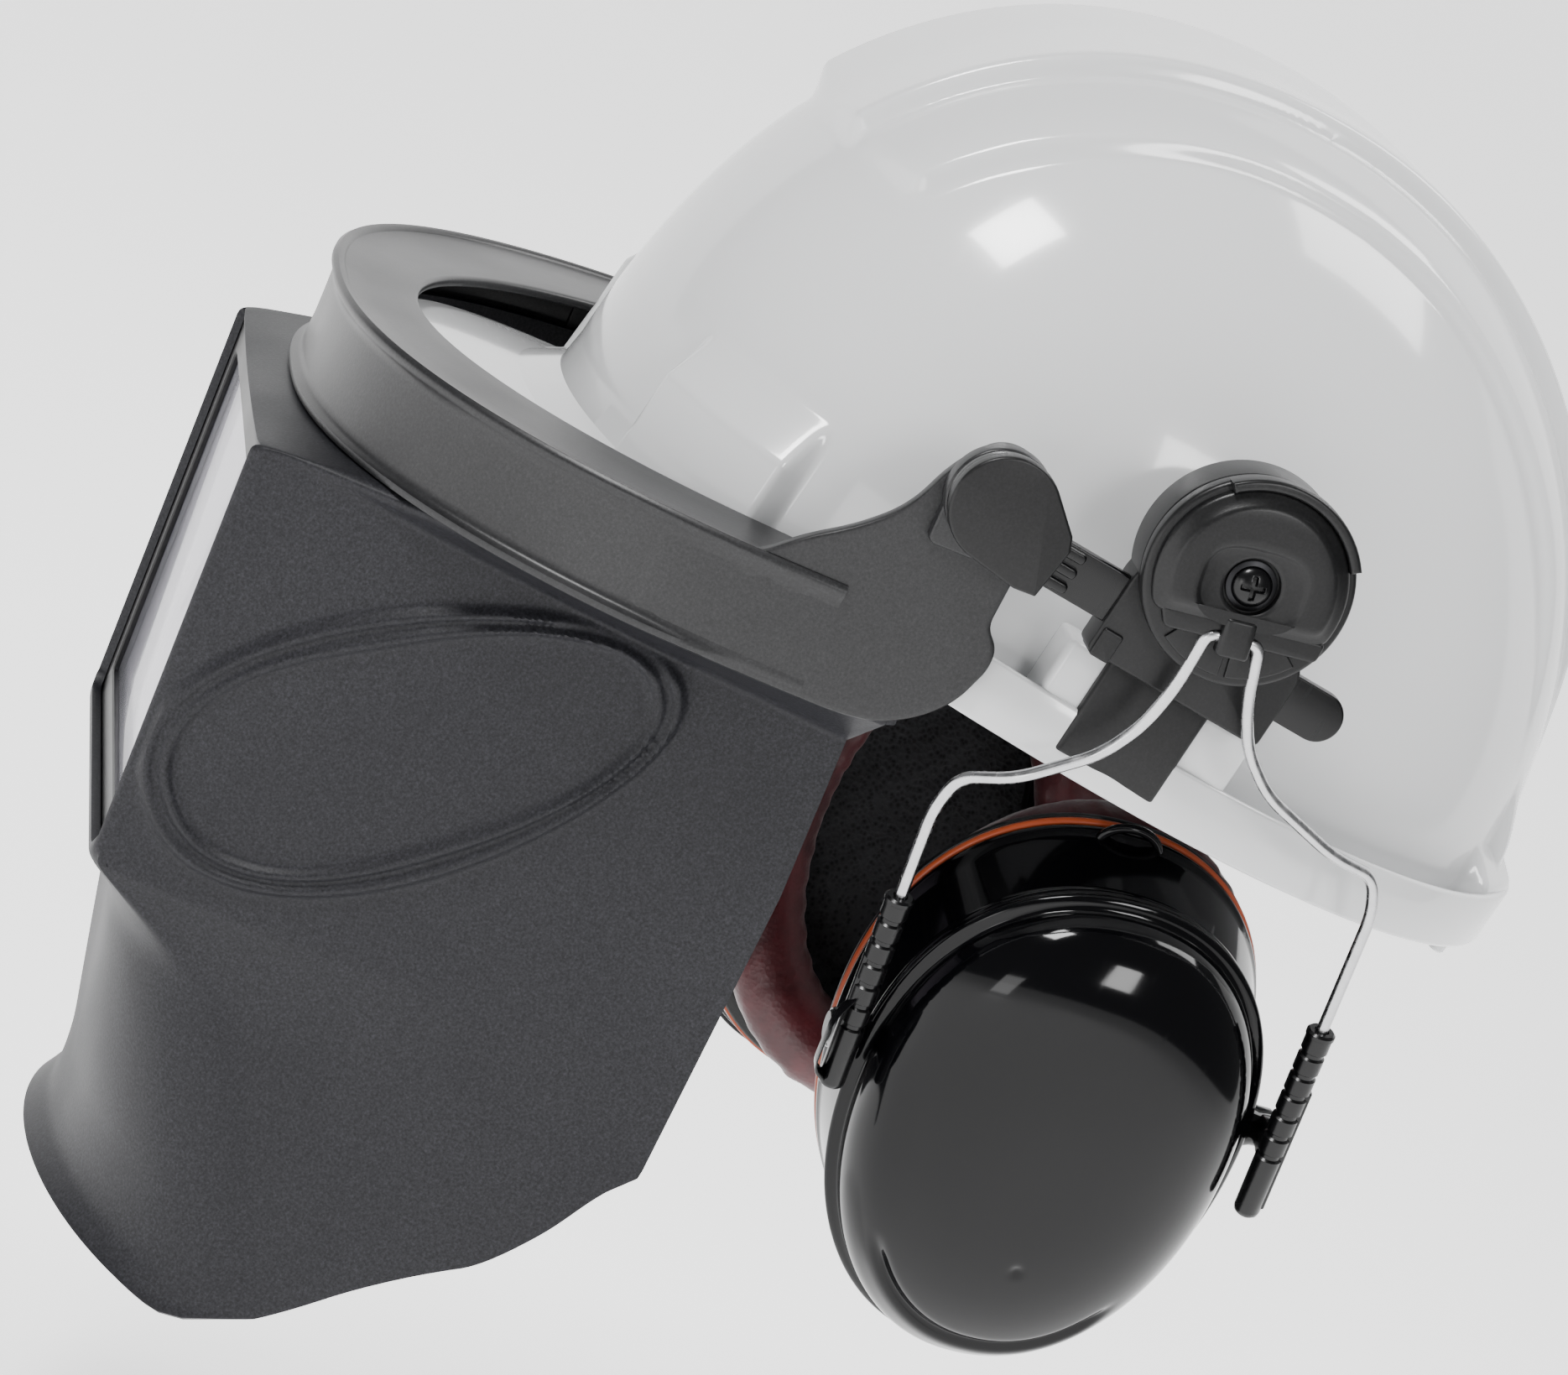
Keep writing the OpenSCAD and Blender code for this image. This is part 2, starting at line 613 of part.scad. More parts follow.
// The outer grid's points come first, then the inner grid's. The window is left out of both.
module face_shield() color(graphite) {
    cols = len(col_s());
    rows = len(row_v) + 2;
    n = cols * rows;
    // Columns and rows of the window's edges
    c0 = side_cols;
    c1 = side_cols + front_cols;
    r0 = 2;
    r1 = 5;
    at = function (i, j) j * cols + i;
    cells = [for (j = [0:rows - 2], i = [0:cols - 2])
        if (i < c0 || i >= c1 || j < r0 || j >= r1) [i, j]];
    faces = concat(
        [for (k = cells) each quad(at(k[0], k[1]), at(k[0] + 1, k[1]),
            at(k[0] + 1, k[1] + 1), at(k[0], k[1] + 1))],
        [for (k = cells) each quad(n + at(k[0] + 1, k[1]), n + at(k[0], k[1]),
            n + at(k[0], k[1] + 1), n + at(k[0] + 1, k[1] + 1))],
        // Upper and lower edges
        [for (i = [0:cols - 2]) each quad(n + i, n + i + 1, i + 1, i)],
        [for (i = [0:cols - 2]) each quad(at(i, rows - 1), at(i + 1, rows - 1),
            n + at(i + 1, rows - 1), n + at(i, rows - 1))],
        // Side edges
        [for (j = [0:rows - 2]) each quad(at(0, j), at(0, j + 1), n + at(0, j + 1), n + at(0, j))],
        [for (j = [0:rows - 2]) each quad(n + at(cols - 1, j), n + at(cols - 1, j + 1),
            at(cols - 1, j + 1), at(cols - 1, j))],
        // Edges of the window
        [for (i = [c0:c1 - 1]) each quad(at(i, r0), at(i + 1, r0), n + at(i + 1, r0), n + at(i, r0))],
        [for (i = [c0:c1 - 1]) each quad(n + at(i, r1), n + at(i + 1, r1), at(i + 1, r1), at(i, r1))],
        [for (j = [r0:r1 - 1]) each quad(n + at(c0, j), n + at(c0, j + 1), at(c0, j + 1), at(c0, j))],
        [for (j = [r0:r1 - 1]) each quad(at(c1, j), at(c1, j + 1), n + at(c1, j + 1), n + at(c1, j))]);
    polyhedron(concat(shield_grid(0), shield_grid(shield_wall)), faces, convexity = 8);
}

// Window frame: origin in the middle of the box front, z up the glass, y inwards
module in_window() {
    translate([0, box_front_y + box_rake * 50.5, box_top_z - 50.5])
        rotate([atan(box_rake), 0, 0]) children();
}

module slab(w, h, y, t) { translate([-w / 2, y, -h / 2]) cube([w, t, h]); }

module glass_frame() color(black)
    in_window() difference() {
        slab(2 * box_half_width - 6, 97, 2.6, 9);
        slab(window_w, window_h, 0, 20);
        slab(glass_width + 0.8, glass_height + 0.8, 4, 10);
    }

module cover_glass() color([0.75, 0.75, 0.8, 0.5])
    in_window() slab(glass_width, glass_height, 4, 1.6);
module filter_glass() color([0.40, 0.38, 0.45, 0.8])
    in_window() slab(glass_width, glass_height, 5.8, 3);

module glass_spring() color(steel)
    in_window() {
        translate([0, 10, 0]) for (side = [1, -1]) {
            translate([side * 50, 0, 0]) cylinder(r = 0.8, h = 80, center = true, $fn = 16);
            translate([0, 0, side * 40]) rotate([0, 90, 0])
                cylinder(r = 0.8, h = 100, center = true, $fn = 16);
        }
    }

// ---------- Nodes ----------

shell();
cradle();
headband();
sweatband();
nape_strap();
on_left() adaptor_base();  // adaptor_base_left
on_right() adaptor_base();  // adaptor_base_right
on_left() muff_plate(turn_left);  // muff_plate_left
on_right() muff_plate(turn_right);  // muff_plate_right
on_left() adaptor_screw();  // adaptor_screw_left
on_right() adaptor_screw();  // adaptor_screw_right
on_left() friction_washer();  // friction_washer_left
on_right() friction_washer();  // friction_washer_right
on_left() wire_yoke(turn_left);  // wire_yoke_left
on_right() wire_yoke(turn_right);  // wire_yoke_right
on_left() slider(turn_left, lift_left, -1);  // front_slider_left
on_right() slider(turn_right, lift_right, -1);  // front_slider_right
on_left() slider(turn_left, lift_left, 1);  // rear_slider_left
on_right() slider(turn_right, lift_right, 1);  // rear_slider_right
on_left() cup_body(turn_left, lift_left);  // cup_body_left
on_right() cup_body(turn_right, lift_right);  // cup_body_right
on_left() cup_cover(turn_left, lift_left);  // cup_cover_left
on_right() cup_cover(turn_right, lift_right);  // cup_cover_right
on_left() seal_ring(turn_left, lift_left);  // seal_ring_left
on_right() seal_ring(turn_right, lift_right);  // seal_ring_right
on_left() cushion_plate(turn_left, lift_left);  // cushion_plate_left
on_right() cushion_plate(turn_right, lift_right);  // cushion_plate_right
on_left() ear_cushion(turn_left, lift_left);  // ear_cushion_left
on_right() ear_cushion(turn_right, lift_right);  // ear_cushion_right
on_left() cup_foam(turn_left, lift_left);  // cup_foam_left
on_right() cup_foam(turn_right, lift_right);  // cup_foam_right
on_left() visor_blade();  // visor_blade_left
on_right() visor_blade();  // visor_blade_right
on_left() pivot_pin();  // pivot_pin_left
on_right() pivot_pin();  // pivot_pin_right
visor_carrier();
face_shield();
glass_frame();
filter_glass();
cover_glass();
glass_spring();
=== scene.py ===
import bpy
import math
import numpy as np
from mathutils import Matrix, Vector


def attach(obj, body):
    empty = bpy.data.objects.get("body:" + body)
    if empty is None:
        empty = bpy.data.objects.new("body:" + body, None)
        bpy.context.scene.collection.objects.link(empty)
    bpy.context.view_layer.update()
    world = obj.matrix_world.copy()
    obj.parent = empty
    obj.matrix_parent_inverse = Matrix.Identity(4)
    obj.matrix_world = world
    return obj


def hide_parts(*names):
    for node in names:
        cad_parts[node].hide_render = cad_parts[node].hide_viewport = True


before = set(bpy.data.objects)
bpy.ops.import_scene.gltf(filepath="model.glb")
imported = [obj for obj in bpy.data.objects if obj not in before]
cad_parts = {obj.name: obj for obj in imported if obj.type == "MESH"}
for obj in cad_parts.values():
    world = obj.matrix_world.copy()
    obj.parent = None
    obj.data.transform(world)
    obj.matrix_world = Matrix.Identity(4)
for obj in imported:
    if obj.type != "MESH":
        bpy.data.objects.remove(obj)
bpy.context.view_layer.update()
MM = 0.001

# ---------- Small helpers ----------


def mix(a, b, t):
    return a + (b - a) * t


def step(a, b, x):
    """Smooth rise from 0 at a to 1 at b."""
    t = np.clip((x - a) / (b - a), 0, 1)
    return t * t * (3 - 2 * t)


def bell(x, width):
    return np.exp(-(x / width) ** 2)


def spow(x, n):
    return np.sign(x) * np.abs(x) ** n


def move(x, y, z):
    return Matrix.Translation((x, y, z))


def turned(degrees, axis):
    return Matrix.Rotation(math.radians(degrees), 4, axis)


def through(matrix, points):
    """Points carried by a 4x4 matrix."""
    m = np.array(matrix)
    p = np.asarray(points, float).reshape(-1, 3)
    return p @ m[:3, :3].T + m[:3, 3]


def flip_x(points, faces):
    """Mirror image in the YZ plane, with its faces turned outwards again."""
    p = np.array(points, float)
    p[:, 0] = -p[:, 0]
    return p, [tuple(reversed(f)) for f in faces]


def grid_faces(rows, cols, close_rows=False, close_cols=False, skip=None):
    out = []
    for j in range(rows if close_rows else rows - 1):
        for i in range(cols if close_cols else cols - 1):
            if skip and skip(i, j):
                continue
            a, b = j * cols + i, j * cols + (i + 1) % cols
            k = (j + 1) % rows
            out.append((a, b, k * cols + (i + 1) % cols, k * cols + i))
    return out


def joined(*parts):
    """One list of points and faces from several."""
    points, faces, n = [], [], 0
    for p, f in parts:
        p = np.asarray(p, float).reshape(-1, 3)
        points.append(p)
        faces += [tuple(v + n for v in face) for face in f]
        n += len(p)
    return np.vstack(points), faces


def piece(name, shape, material, body, stands_for=(), sharp=35):
    """A mesh piece from points in millimetres, riding on a body."""
    points, faces = shape
    mesh = bpy.data.meshes.new(name)
    mesh.from_pydata((np.asarray(points) * MM).tolist(), [], faces)
    mesh.validate()
    mesh.update()
    mesh.shade_smooth()
    mesh.set_sharp_from_angle(angle=math.radians(sharp))
    obj = bpy.data.objects.new(name, mesh)
    bpy.context.scene.collection.objects.link(obj)
    mesh.materials.append(material)
    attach(obj, body)
    if stands_for:
        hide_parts(*stands_for)
    return obj


def circle(radius, n=72):
    """Points of a circle in plan."""
    t = np.linspace(0, 2 * math.pi, n, endpoint=False)
    return np.stack([radius * np.cos(t), radius * np.sin(t)], 1)


def lathe(profile, n):
    """Solid of revolution about Z from (radius, height) pairs, one end of the axis to the other."""
    points = [(0, 0, profile[0][1])]
    for r, h in profile:
        points += [(x, y, h) for x, y in circle(r, n)]
    points.append((0, 0, profile[-1][1]))
    rows = len(profile)
    faces = [(0, 1 + (i + 1) % n, 1 + i) for i in range(n)]
    faces += [tuple(v + 1 for v in f) for f in grid_faces(rows, n, close_cols=True)]
    last = 1 + (rows - 1) * n
    faces += [(last + n, last + i, last + (i + 1) % n) for i in range(n)]
    return np.array(points), faces


def loft(rings, caps=True, loop=False):
    """Skin through rings of equal length, each an array of points."""
    n = len(rings[0])
    faces = grid_faces(len(rings), n, close_rows=loop, close_cols=True)
    if caps and not loop:
        faces.append(tuple(range(n - 1, -1, -1)))
        faces.append(tuple((len(rings) - 1) * n + i for i in range(n)))
    return np.vstack(rings), faces


def flat_ring(outline, height):
    o = np.asarray(outline, float)
    return np.column_stack([o, np.full(len(o), height)])


def unit(vectors):
    """Vectors along the last axis, scaled to length 1."""
    return vectors / np.maximum(np.linalg.norm(vectors, axis=-1), 1e-9)[..., None]


def across(curve):
    """Unit normals of an open plan curve, pointing outwards from its inside."""
    t = unit(np.gradient(curve, axis=0))
    return np.stack([t[:, 1], -t[:, 0]], 1)


def rounded_plate(outline, low, high, radius):
    """Solid between two heights on a plan outline (anticlockwise), with its edges rounded."""
    o = np.asarray(outline, float)
    ahead = unit(np.roll(o, -1, axis=0) - o)
    behind = unit(o - np.roll(o, 1, axis=0))
    both = ahead + behind
    normal = unit(np.stack([both[:, 1], -both[:, 0]], 1))
    turn = [math.pi / 8 * k for k in range(5)]
    rings = [(radius * (1 - math.sin(t)), low + radius * (1 - math.cos(t))) for t in turn]
    rings += [(radius * (1 - math.cos(t)), high - radius * (1 - math.sin(t))) for t in turn]
    return loft([flat_ring(o - normal * inset, z) for inset, z in rings])


def corner_arc(before, corner, after, radius, share, steps):
    """Curve round a corner. It starts a given distance away, or at that share of a short side."""
    ua, ub = before - corner, after - corner
    cut = min(radius, ua.length * share, ub.length * share)
    p0, p2 = corner + ua.normalized() * cut, corner + ub.normalized() * cut
    return [tuple(p0 * (1 - t) ** 2 + corner * 2 * t * (1 - t) + p2 * t * t)
            for t in (k / steps for k in range(steps + 1))]


def rounded_outline(corners, radius, steps=4):
    """Polygon with its corners rounded by one distance, or by one for each corner."""
    c = [Vector(p) for p in corners]
    radii = radius if isinstance(radius, (list, tuple)) else [radius] * len(c)
    out = []
    for i, p in enumerate(c):
        out += corner_arc(c[i - 1], p, c[(i + 1) % len(c)], radii[i], 0.48, steps)
    return out


def tube(path, radius, n):
    """Round tube along a path of points, with closed ends."""
    p = np.asarray(path, float)
    tangent = unit(np.gradient(p, axis=0))
    e = np.cross(tangent[0], [1, 0, 0])
    if np.linalg.norm(e) < 0.1:
        e = np.cross(tangent[0], [0, 1, 0])
    ring = circle(radius, n)
    rings = []
    for point, along in zip(p, tangent):
        e = unit(e - along * np.dot(e, along))
        rings.append(point + np.outer(ring[:, 0], e) + np.outer(ring[:, 1], np.cross(along, e)))
    return loft(rings)


def bent_path(corners, radius, steps=8):
    """Straight runs joined by bends that start a given distance before each corner."""
    c = [Vector(p) for p in corners]
    out = [tuple(c[0])]
    for i in range(1, len(c) - 1):
        out += corner_arc(c[i - 1], c[i], c[i + 1], radius, 0.45, steps)
    out.append(tuple(c[-1]))
    return np.array(out)


def box_corners(x0, y0, x1, y1):
    return [(x0, y0), (x1, y0), (x1, y1), (x0, y1)]


def rounded_box(lo, hi, radius):
    outline = rounded_outline(box_corners(*lo[:2], *hi[:2]), radius * 1.6)
    return rounded_plate(outline, lo[2], hi[2], radius * 0.8)


def carried(matrix, shape):
    return through(matrix, shape[0]), shape[1]


def resampled(curve, n):
    """The same curve as n points at equal distances."""
    c = np.asarray(curve, float)
    s = np.concatenate([[0], np.cumsum(np.linalg.norm(np.diff(c, axis=0), axis=1))])
    t = np.linspace(0, s[-1], n)
    return np.stack([np.interp(t, s, c[:, k]) for k in range(c.shape[1])], -1)


def evened(outline, n=160):
    """A closed outline as n points at equal distances."""
    o = np.vstack([outline, outline[:1]])
    return resampled(o, n + 1)[:-1]


def swept(path, out, section):
    """Solid strip: a closed section of (outwards, up) pairs carried along an open plan path."""
    path, out = np.asarray(path, float), np.asarray(out, float)
    rings = []
    for p, n in zip(path, out):
        rings.append(np.array([(p[0] + n[0] * a, p[1] + n[1] * a, p[2] + b) for a, b in section]))
    return loft(rings)


def hull(points):
    """Convex outline, anticlockwise."""
    pts = sorted(set((round(x, 4), round(y, 4)) for x, y in points))

    def half(seq):
        out = []
        for q in seq:
            while len(out) > 1 and ((out[-1][0] - out[-2][0]) * (q[1] - out[-2][1])
                                    - (out[-1][1] - out[-2][1]) * (q[0] - out[-2][0])) <= 0:
                out.pop()
            out.append(q)
        return out[:-1]
    return half(pts) + half(pts[::-1])


# Frame with x backwards, y up and z outwards along +X, for plates seen from the side
SIDE = Matrix(((0, 0, 1, 0), (1, 0, 0, 0), (0, 1, 0, 0), (0, 0, 0, 1)))


def side_plate(x, outline, low, high, radius, y=0.0, z=0.0):
    """Rounded plate seen from the side, with its heights counted outwards from x."""
    return carried(move(x, y, z) @ SIDE, rounded_plate(outline, low, high, radius))


def blunted(corners, radius):
    return evened(np.array(rounded_outline(corners, radius)))

# ---------- Materials ----------


class Nodes:
    """A material under construction."""

    def __init__(self, name):
        self.mat = bpy.data.materials.new(name)
        self.mat.use_nodes = True
        self.tree = self.mat.node_tree
        self.shader = self.tree.nodes["Principled BSDF"]
        self.coord = self.tree.nodes.new("ShaderNodeTexCoord").outputs["Object"]

    def put(self, **values):
        for key, value in values.items():
            self.shader.inputs[key.replace("_", " ")].default_value = value
        return self

    def noise(self, scale, detail=2, rough=0.5):
        n = self.tree.nodes.new("ShaderNodeTexNoise")
        n.inputs["Scale"].default_value = scale
        n.inputs["Detail"].default_value = detail
        n.inputs["Roughness"].default_value = rough
        self.tree.links.new(self.coord, n.inputs["Vector"])
        return n.outputs["Fac"]

    def cells(self, scale, stretch=None):
        n = self.tree.nodes.new("ShaderNodeTexVoronoi")
        n.inputs["Scale"].default_value = scale
        vector = self.coord
        if stretch:
            m = self.tree.nodes.new("ShaderNodeMapping")
            m.inputs["Scale"].default_value = stretch
            self.tree.links.new(self.coord, m.inputs["Vector"])
            vector = m.outputs["Vector"]
        self.tree.links.new(vector, n.inputs["Vector"])
        return n.outputs["Distance"]

    def ramp(self, value, *stops):
        n = self.tree.nodes.new("ShaderNodeValToRGB")
        ramp = n.color_ramp
        while len(ramp.elements) < len(stops):
            ramp.elements.new(0.5)
        for element, (at, colour) in zip(ramp.elements, stops):
            element.position = at
            element.color = (*colour, 1) if isinstance(colour, tuple) else (colour, colour, colour, 1)
        self.tree.links.new(value, n.inputs["Fac"])
        return n.outputs["Color"]

    def blend(self, factor, a, b):
        n = self.tree.nodes.new("ShaderNodeMix")
        n.data_type = "RGBA"
        for socket, value in (("Factor", factor), ("A", a), ("B", b)):
            target = [s for s in n.inputs if s.name == socket and s.enabled][0]
            if hasattr(value, "is_linked"):
                self.tree.links.new(value, target)
            elif isinstance(value, tuple):
                target.default_value = (*value, 1)
            else:
                target.default_value = value
        return [s for s in n.outputs if s.enabled][0]

    def colour(self, value):
        self.tree.links.new(value, self.shader.inputs["Base Color"])
        return self

    def roughness(self, value):
        self.tree.links.new(value, self.shader.inputs["Roughness"])
        return self

    def bump(self, *layers):
        """Layers of (height value, strength, distance in metres)."""
        last = None
        for value, strength, distance in layers:
            n = self.tree.nodes.new("ShaderNodeBump")
            n.inputs["Strength"].default_value = strength
            n.inputs["Distance"].default_value = distance
            self.tree.links.new(value, n.inputs["Height"])
            if last:
                self.tree.links.new(last, n.inputs["Normal"])
            last = n.outputs["Normal"]
        self.tree.links.new(last, self.shader.inputs["Normal"])
        return self


def textured_plastic(name, dark, light, rough, grain=0.00012, specular=0.3):
    """Moulded plastic with a fine spark-eroded texture."""
    m = Nodes(name)
    fine = m.noise(1500, 3, 0.65)
    broad = m.noise(18, 3)
    middle = tuple(mix(a, b, 0.4) for a, b in zip(dark, light))
    base = m.ramp(fine, (0.32, dark), (0.56, middle), (0.78, light))
    m.colour(m.blend(m.ramp(broad, (0.3, 0.0), (0.75, 0.28)), base, tuple(c * 1.35 for c in dark)))
    m.roughness(m.ramp(broad, (0.25, rough - 0.05), (0.8, rough + 0.08)))
    m.bump((fine, 0.35, grain), (broad, 0.05, 0.0004))
    return m.put(Specular_IOR_Level=specular).mat


def gloss_plastic(name, colour, rough, coat, specular=0.5):
    m = Nodes(name).put(Coat_Weight=coat, Coat_Roughness=0.04, Specular_IOR_Level=specular)
    broad = m.noise(9, 2)
    m.colour(m.blend(m.ramp(broad, (0.3, 0.0), (0.7, 0.5)), colour, tuple(c * 0.94 for c in colour)))
    scuffs = m.cells(60, stretch=(1, 6, 1))
    m.roughness(m.ramp(scuffs, (0.0, rough + 0.06), (0.25, rough)))
    m.bump((m.noise(120, 2), 0.04, 0.0003), (broad, 0.05, 0.0012))
    return m.mat


def leatherette(name, dark, light):
    m = Nodes(name).put(Sheen_Weight=0.15)
    grain = m.cells(900)
    folds = m.noise(70, 4, 0.6)
    m.colour(m.ramp(folds, (0.3, dark), (0.7, light)))
    m.roughness(m.ramp(grain, (0.0, 0.48), (0.8, 0.34)))
    m.bump((grain, 0.3, 0.00015), (folds, 0.35, 0.0012))
    return m.mat


def foam(name, dark, light):
    m = Nodes(name).put(Sheen_Weight=0.2, Roughness=0.95)
    pores = m.cells(700)
    m.colour(m.ramp(pores, (0.05, dark), (0.5, light)))
    m.bump((pores, 0.7, 0.0006), (m.noise(60, 3), 0.3, 0.001))
    return m.mat


def woven(name, dark, light):
    m = Nodes(name).put(Sheen_Weight=0.3, Roughness=0.85)
    warp = m.cells(900, stretch=(1, 0.35, 1))
    weft = m.cells(900, stretch=(0.35, 1, 0.35))
    thread = m.blend(0.5, warp, weft)
    m.colour(m.ramp(thread, (0.1, dark), (0.6, light)))
    m.bump((thread, 0.6, 0.0004))
    return m.mat


def drawn_metal(name, colour, rough):
    m = Nodes(name).put(Metallic=1.0)
    lines = m.noise(400, 4)
    m.colour(m.ramp(lines, (0.3, tuple(c * 0.86 for c in colour)), (0.7, colour)))
    m.roughness(m.ramp(lines, (0.3, rough), (0.7, rough + 0.12)))
    m.bump((lines, 0.08, 0.0002))
    return m.mat


def tinted_glass(name, colour, rough, alpha):
    m = Nodes(name).put(Metallic=0.0, Coat_Weight=0.6, Coat_Roughness=0.03, Alpha=alpha)
    smear = m.noise(14, 3)
    m.colour(m.ramp(smear, (0.3, tuple(c * 0.9 for c in colour)), (0.7, colour)))
    m.roughness(m.ramp(smear, (0.3, rough), (0.8, rough + 0.06)))
    return m.mat


WHITE = gloss_plastic("white_shell", (0.66, 0.665, 0.67), 0.14, 0.35)
WHITE_MATT = textured_plastic("white_harness", (0.62, 0.63, 0.64), (0.74, 0.75, 0.76), 0.5, 0.00004)
GRAPHITE = textured_plastic("graphite_shield", (0.005, 0.005, 0.0062), (0.032, 0.032, 0.038), 0.47,
                            specular=0.22)
CARRIER = textured_plastic("carrier_plastic", (0.006, 0.006, 0.0065), (0.026, 0.026, 0.028), 0.36, 0.00008,
                           0.38)
BLACK = textured_plastic("black_plastic", (0.002, 0.002, 0.0022), (0.010, 0.010, 0.0105), 0.38, 0.00006)
SMOOTH_BLACK = gloss_plastic("smooth_black", (0.0015, 0.0015, 0.0018), 0.26, 0.05, 0.3)
PIANO_BLACK = gloss_plastic("cup_cover_black", (0.0012, 0.0012, 0.0016), 0.09, 0.06, 0.2)
ORANGE = gloss_plastic("seal_orange", (0.34, 0.055, 0.015), 0.34, 0.1, 0.3)
RED = leatherette("cushion_red", (0.028, 0.0015, 0.003), (0.085, 0.006, 0.010))
FOAM = foam("foam_charcoal", (0.004, 0.004, 0.0045), (0.03, 0.03, 0.033))
TERRY = woven("sweatband_cloth", (0.006, 0.006, 0.007), (0.03, 0.03, 0.033))
STEEL = drawn_metal("wire_steel", (0.56, 0.56, 0.57), 0.2)
BLACKENED = drawn_metal("blackened_steel", (0.03, 0.03, 0.032), 0.35)
COVER_GLASS = tinted_glass("cover_glass", (0.80, 0.80, 0.86), 0.05, 0.35)
FILTER_GLASS = tinted_glass("filter_glass", (0.62, 0.56, 0.66), 0.08, 1.0)

# ---------- Camera, floor and lights ----------

AZIMUTH, ELEVATION, ROLL = 74.5, 12.0, 33.0
TARGET = Vector((0, -0.0352, -0.0394))
DISTANCE = 1.3
az, el, roll = (math.radians(v) for v in (AZIMUTH, ELEVATION, ROLL))
back = Vector((math.sin(az) * math.cos(el), -math.cos(az) * math.cos(el), math.sin(el)))
right = (-back).cross(Vector((0, 0, 1))).normalized()
up = right.cross(-back).normalized()
right_r = right * math.cos(roll) + up * math.sin(roll)
up_r = up * math.cos(roll) - right * math.sin(roll)
camera_data = bpy.data.cameras.new("camera")
camera_data.sensor_width = 36
camera_data.lens = 127.7
camera_data.clip_start = 0.05
camera = bpy.data.objects.new("camera", camera_data)
bpy.context.scene.collection.objects.link(camera)
camera.matrix_world = Matrix((right_r, up_r, back)).transposed().to_4x4()
camera.location = TARGET + back * DISTANCE
bpy.context.scene.camera = camera

FLOOR_Z = -0.30
floor_mat = Nodes("floor_paper").put(Roughness=0.9, Specular_IOR_Level=0.1, Emission_Strength=1.2)
floor_mat.put(Emission_Color=(1, 1, 1, 1))
floor_mat.colour(floor_mat.ramp(floor_mat.noise(3, 2), (0.3, 0.93), (0.7, 0.95)))


def backdrop():
    """Paper sweep: flat under the object, curving up into a wall on the side away from the camera."""
    across_dir = Vector((back.y, -back.x, 0)).normalized()
    away = Vector((-back.x, -back.y, 0)).normalized()
    bend = np.linspace(0, math.pi / 2, 16)
    run = [(-9.0, 0.0)] + [(3.0 + 2.0 * math.sin(t), 2.0 - 2.0 * math.cos(t)) for t in bend] + [(5.0, 7.0)]
    points = []
    for reach, rise in run:
        for sideways in (-9.0, 9.0):
            p = away * reach + across_dir * sideways
            points.append((p.x, p.y, FLOOR_Z + rise))
    return points, grid_faces(len(run), 2)


floor_mesh = bpy.data.meshes.new("floor")
sweep_points, sweep_faces = backdrop()
floor_mesh.from_pydata(sweep_points, [], sweep_faces)
floor_mesh.shade_smooth()
floor_mesh.materials.append(floor_mat.mat)
floor = bpy.data.objects.new("floor", floor_mesh)
bpy.context.scene.collection.objects.link(floor)


def softbox(name, place, aim, size, power):
    data = bpy.data.lights.new(name, "AREA")
    data.shape = "RECTANGLE"
    data.size, data.size_y = size
    data.energy = power
    obj = bpy.data.objects.new(name, data)
    bpy.context.scene.collection.objects.link(obj)
    obj.location = place
    obj.rotation_euler = (Vector(aim) - Vector(place)).to_track_quat("-Z", "Y").to_euler()


softbox("key", (0.75, -1.25, 1.55), (0, 0, 0), (0.5, 0.5), 44)
softbox("side", (1.9, 0.35, 0.75), (0, 0, 0), (0.35, 0.7), 17)
softbox("top", (-0.2, 0.7, 1.7), (0, 0, 0), (0.8, 0.8), 26)
softbox("low", (1.3, -0.9, -0.1), (0, -0.05, -0.1), (0.4, 0.3), 2)
world = bpy.data.worlds.new("studio")
world.use_nodes = True
world.node_tree.nodes["Background"].inputs["Color"].default_value = (0.93, 0.94, 0.95, 1)
world.node_tree.nodes["Background"].inputs["Strength"].default_value = 0.22
bpy.context.scene.world = world

# ---------- Shell ----------

DOME_HALF, DOME_H, DOME_Y = 98.0, 141.0, 5.0
DOME_FRONT, DOME_REAR = 124.0, 125.0
RIM_HALF, PEAK, RIM_REAR = 113.0, 167.0, 130.0
GUTTER, FLOOR, RIM_LOW, WALL = 13.0, 1.6, -1.0, 2.6


def oval(a, half, front, rear, yc, n_front, n_rear):
    """Points of a closed plan curve at angles a in radians, the front half towards -Y."""
    s, c = np.sin(a), np.cos(a)
    n = np.where(s < 0, n_front, n_rear)
    b = np.where(s < 0, front, rear)
    return np.stack([half * spow(c, 2 / n), yc + b * spow(s, 2 / n)], -1)


def droop(y):
    return -0.105 * np.maximum(0, -y - 60)


def wall_top(y):
    return mix(FLOOR + 0.1, GUTTER, np.clip((y + 72) / 38, 0, 1))


def dome_surface(a, z, inset=0.0):
    """Dome points at plan angles a (columns) and heights z (rows)."""
    a, z = np.meshgrid(a, z)
    s = np.sin(a)
    p = np.where(s < 0, mix(2.15, 2.3, -s), mix(2.15, 1.9, s))
    fill = np.maximum(0, 1 - (np.maximum(0, z) / (DOME_H - inset)) ** p) ** (1 / p)
    o = oval(a, DOME_HALF, DOME_FRONT, DOME_REAR, 0, 2.15, 2.05)
    reach = np.linalg.norm(o, axis=-1)
    r = np.maximum(reach * fill - inset, 0.02)
    xy = o / reach[..., None] * r[..., None]
    return np.dstack([xy[..., 0], xy[..., 1] + DOME_Y, z])


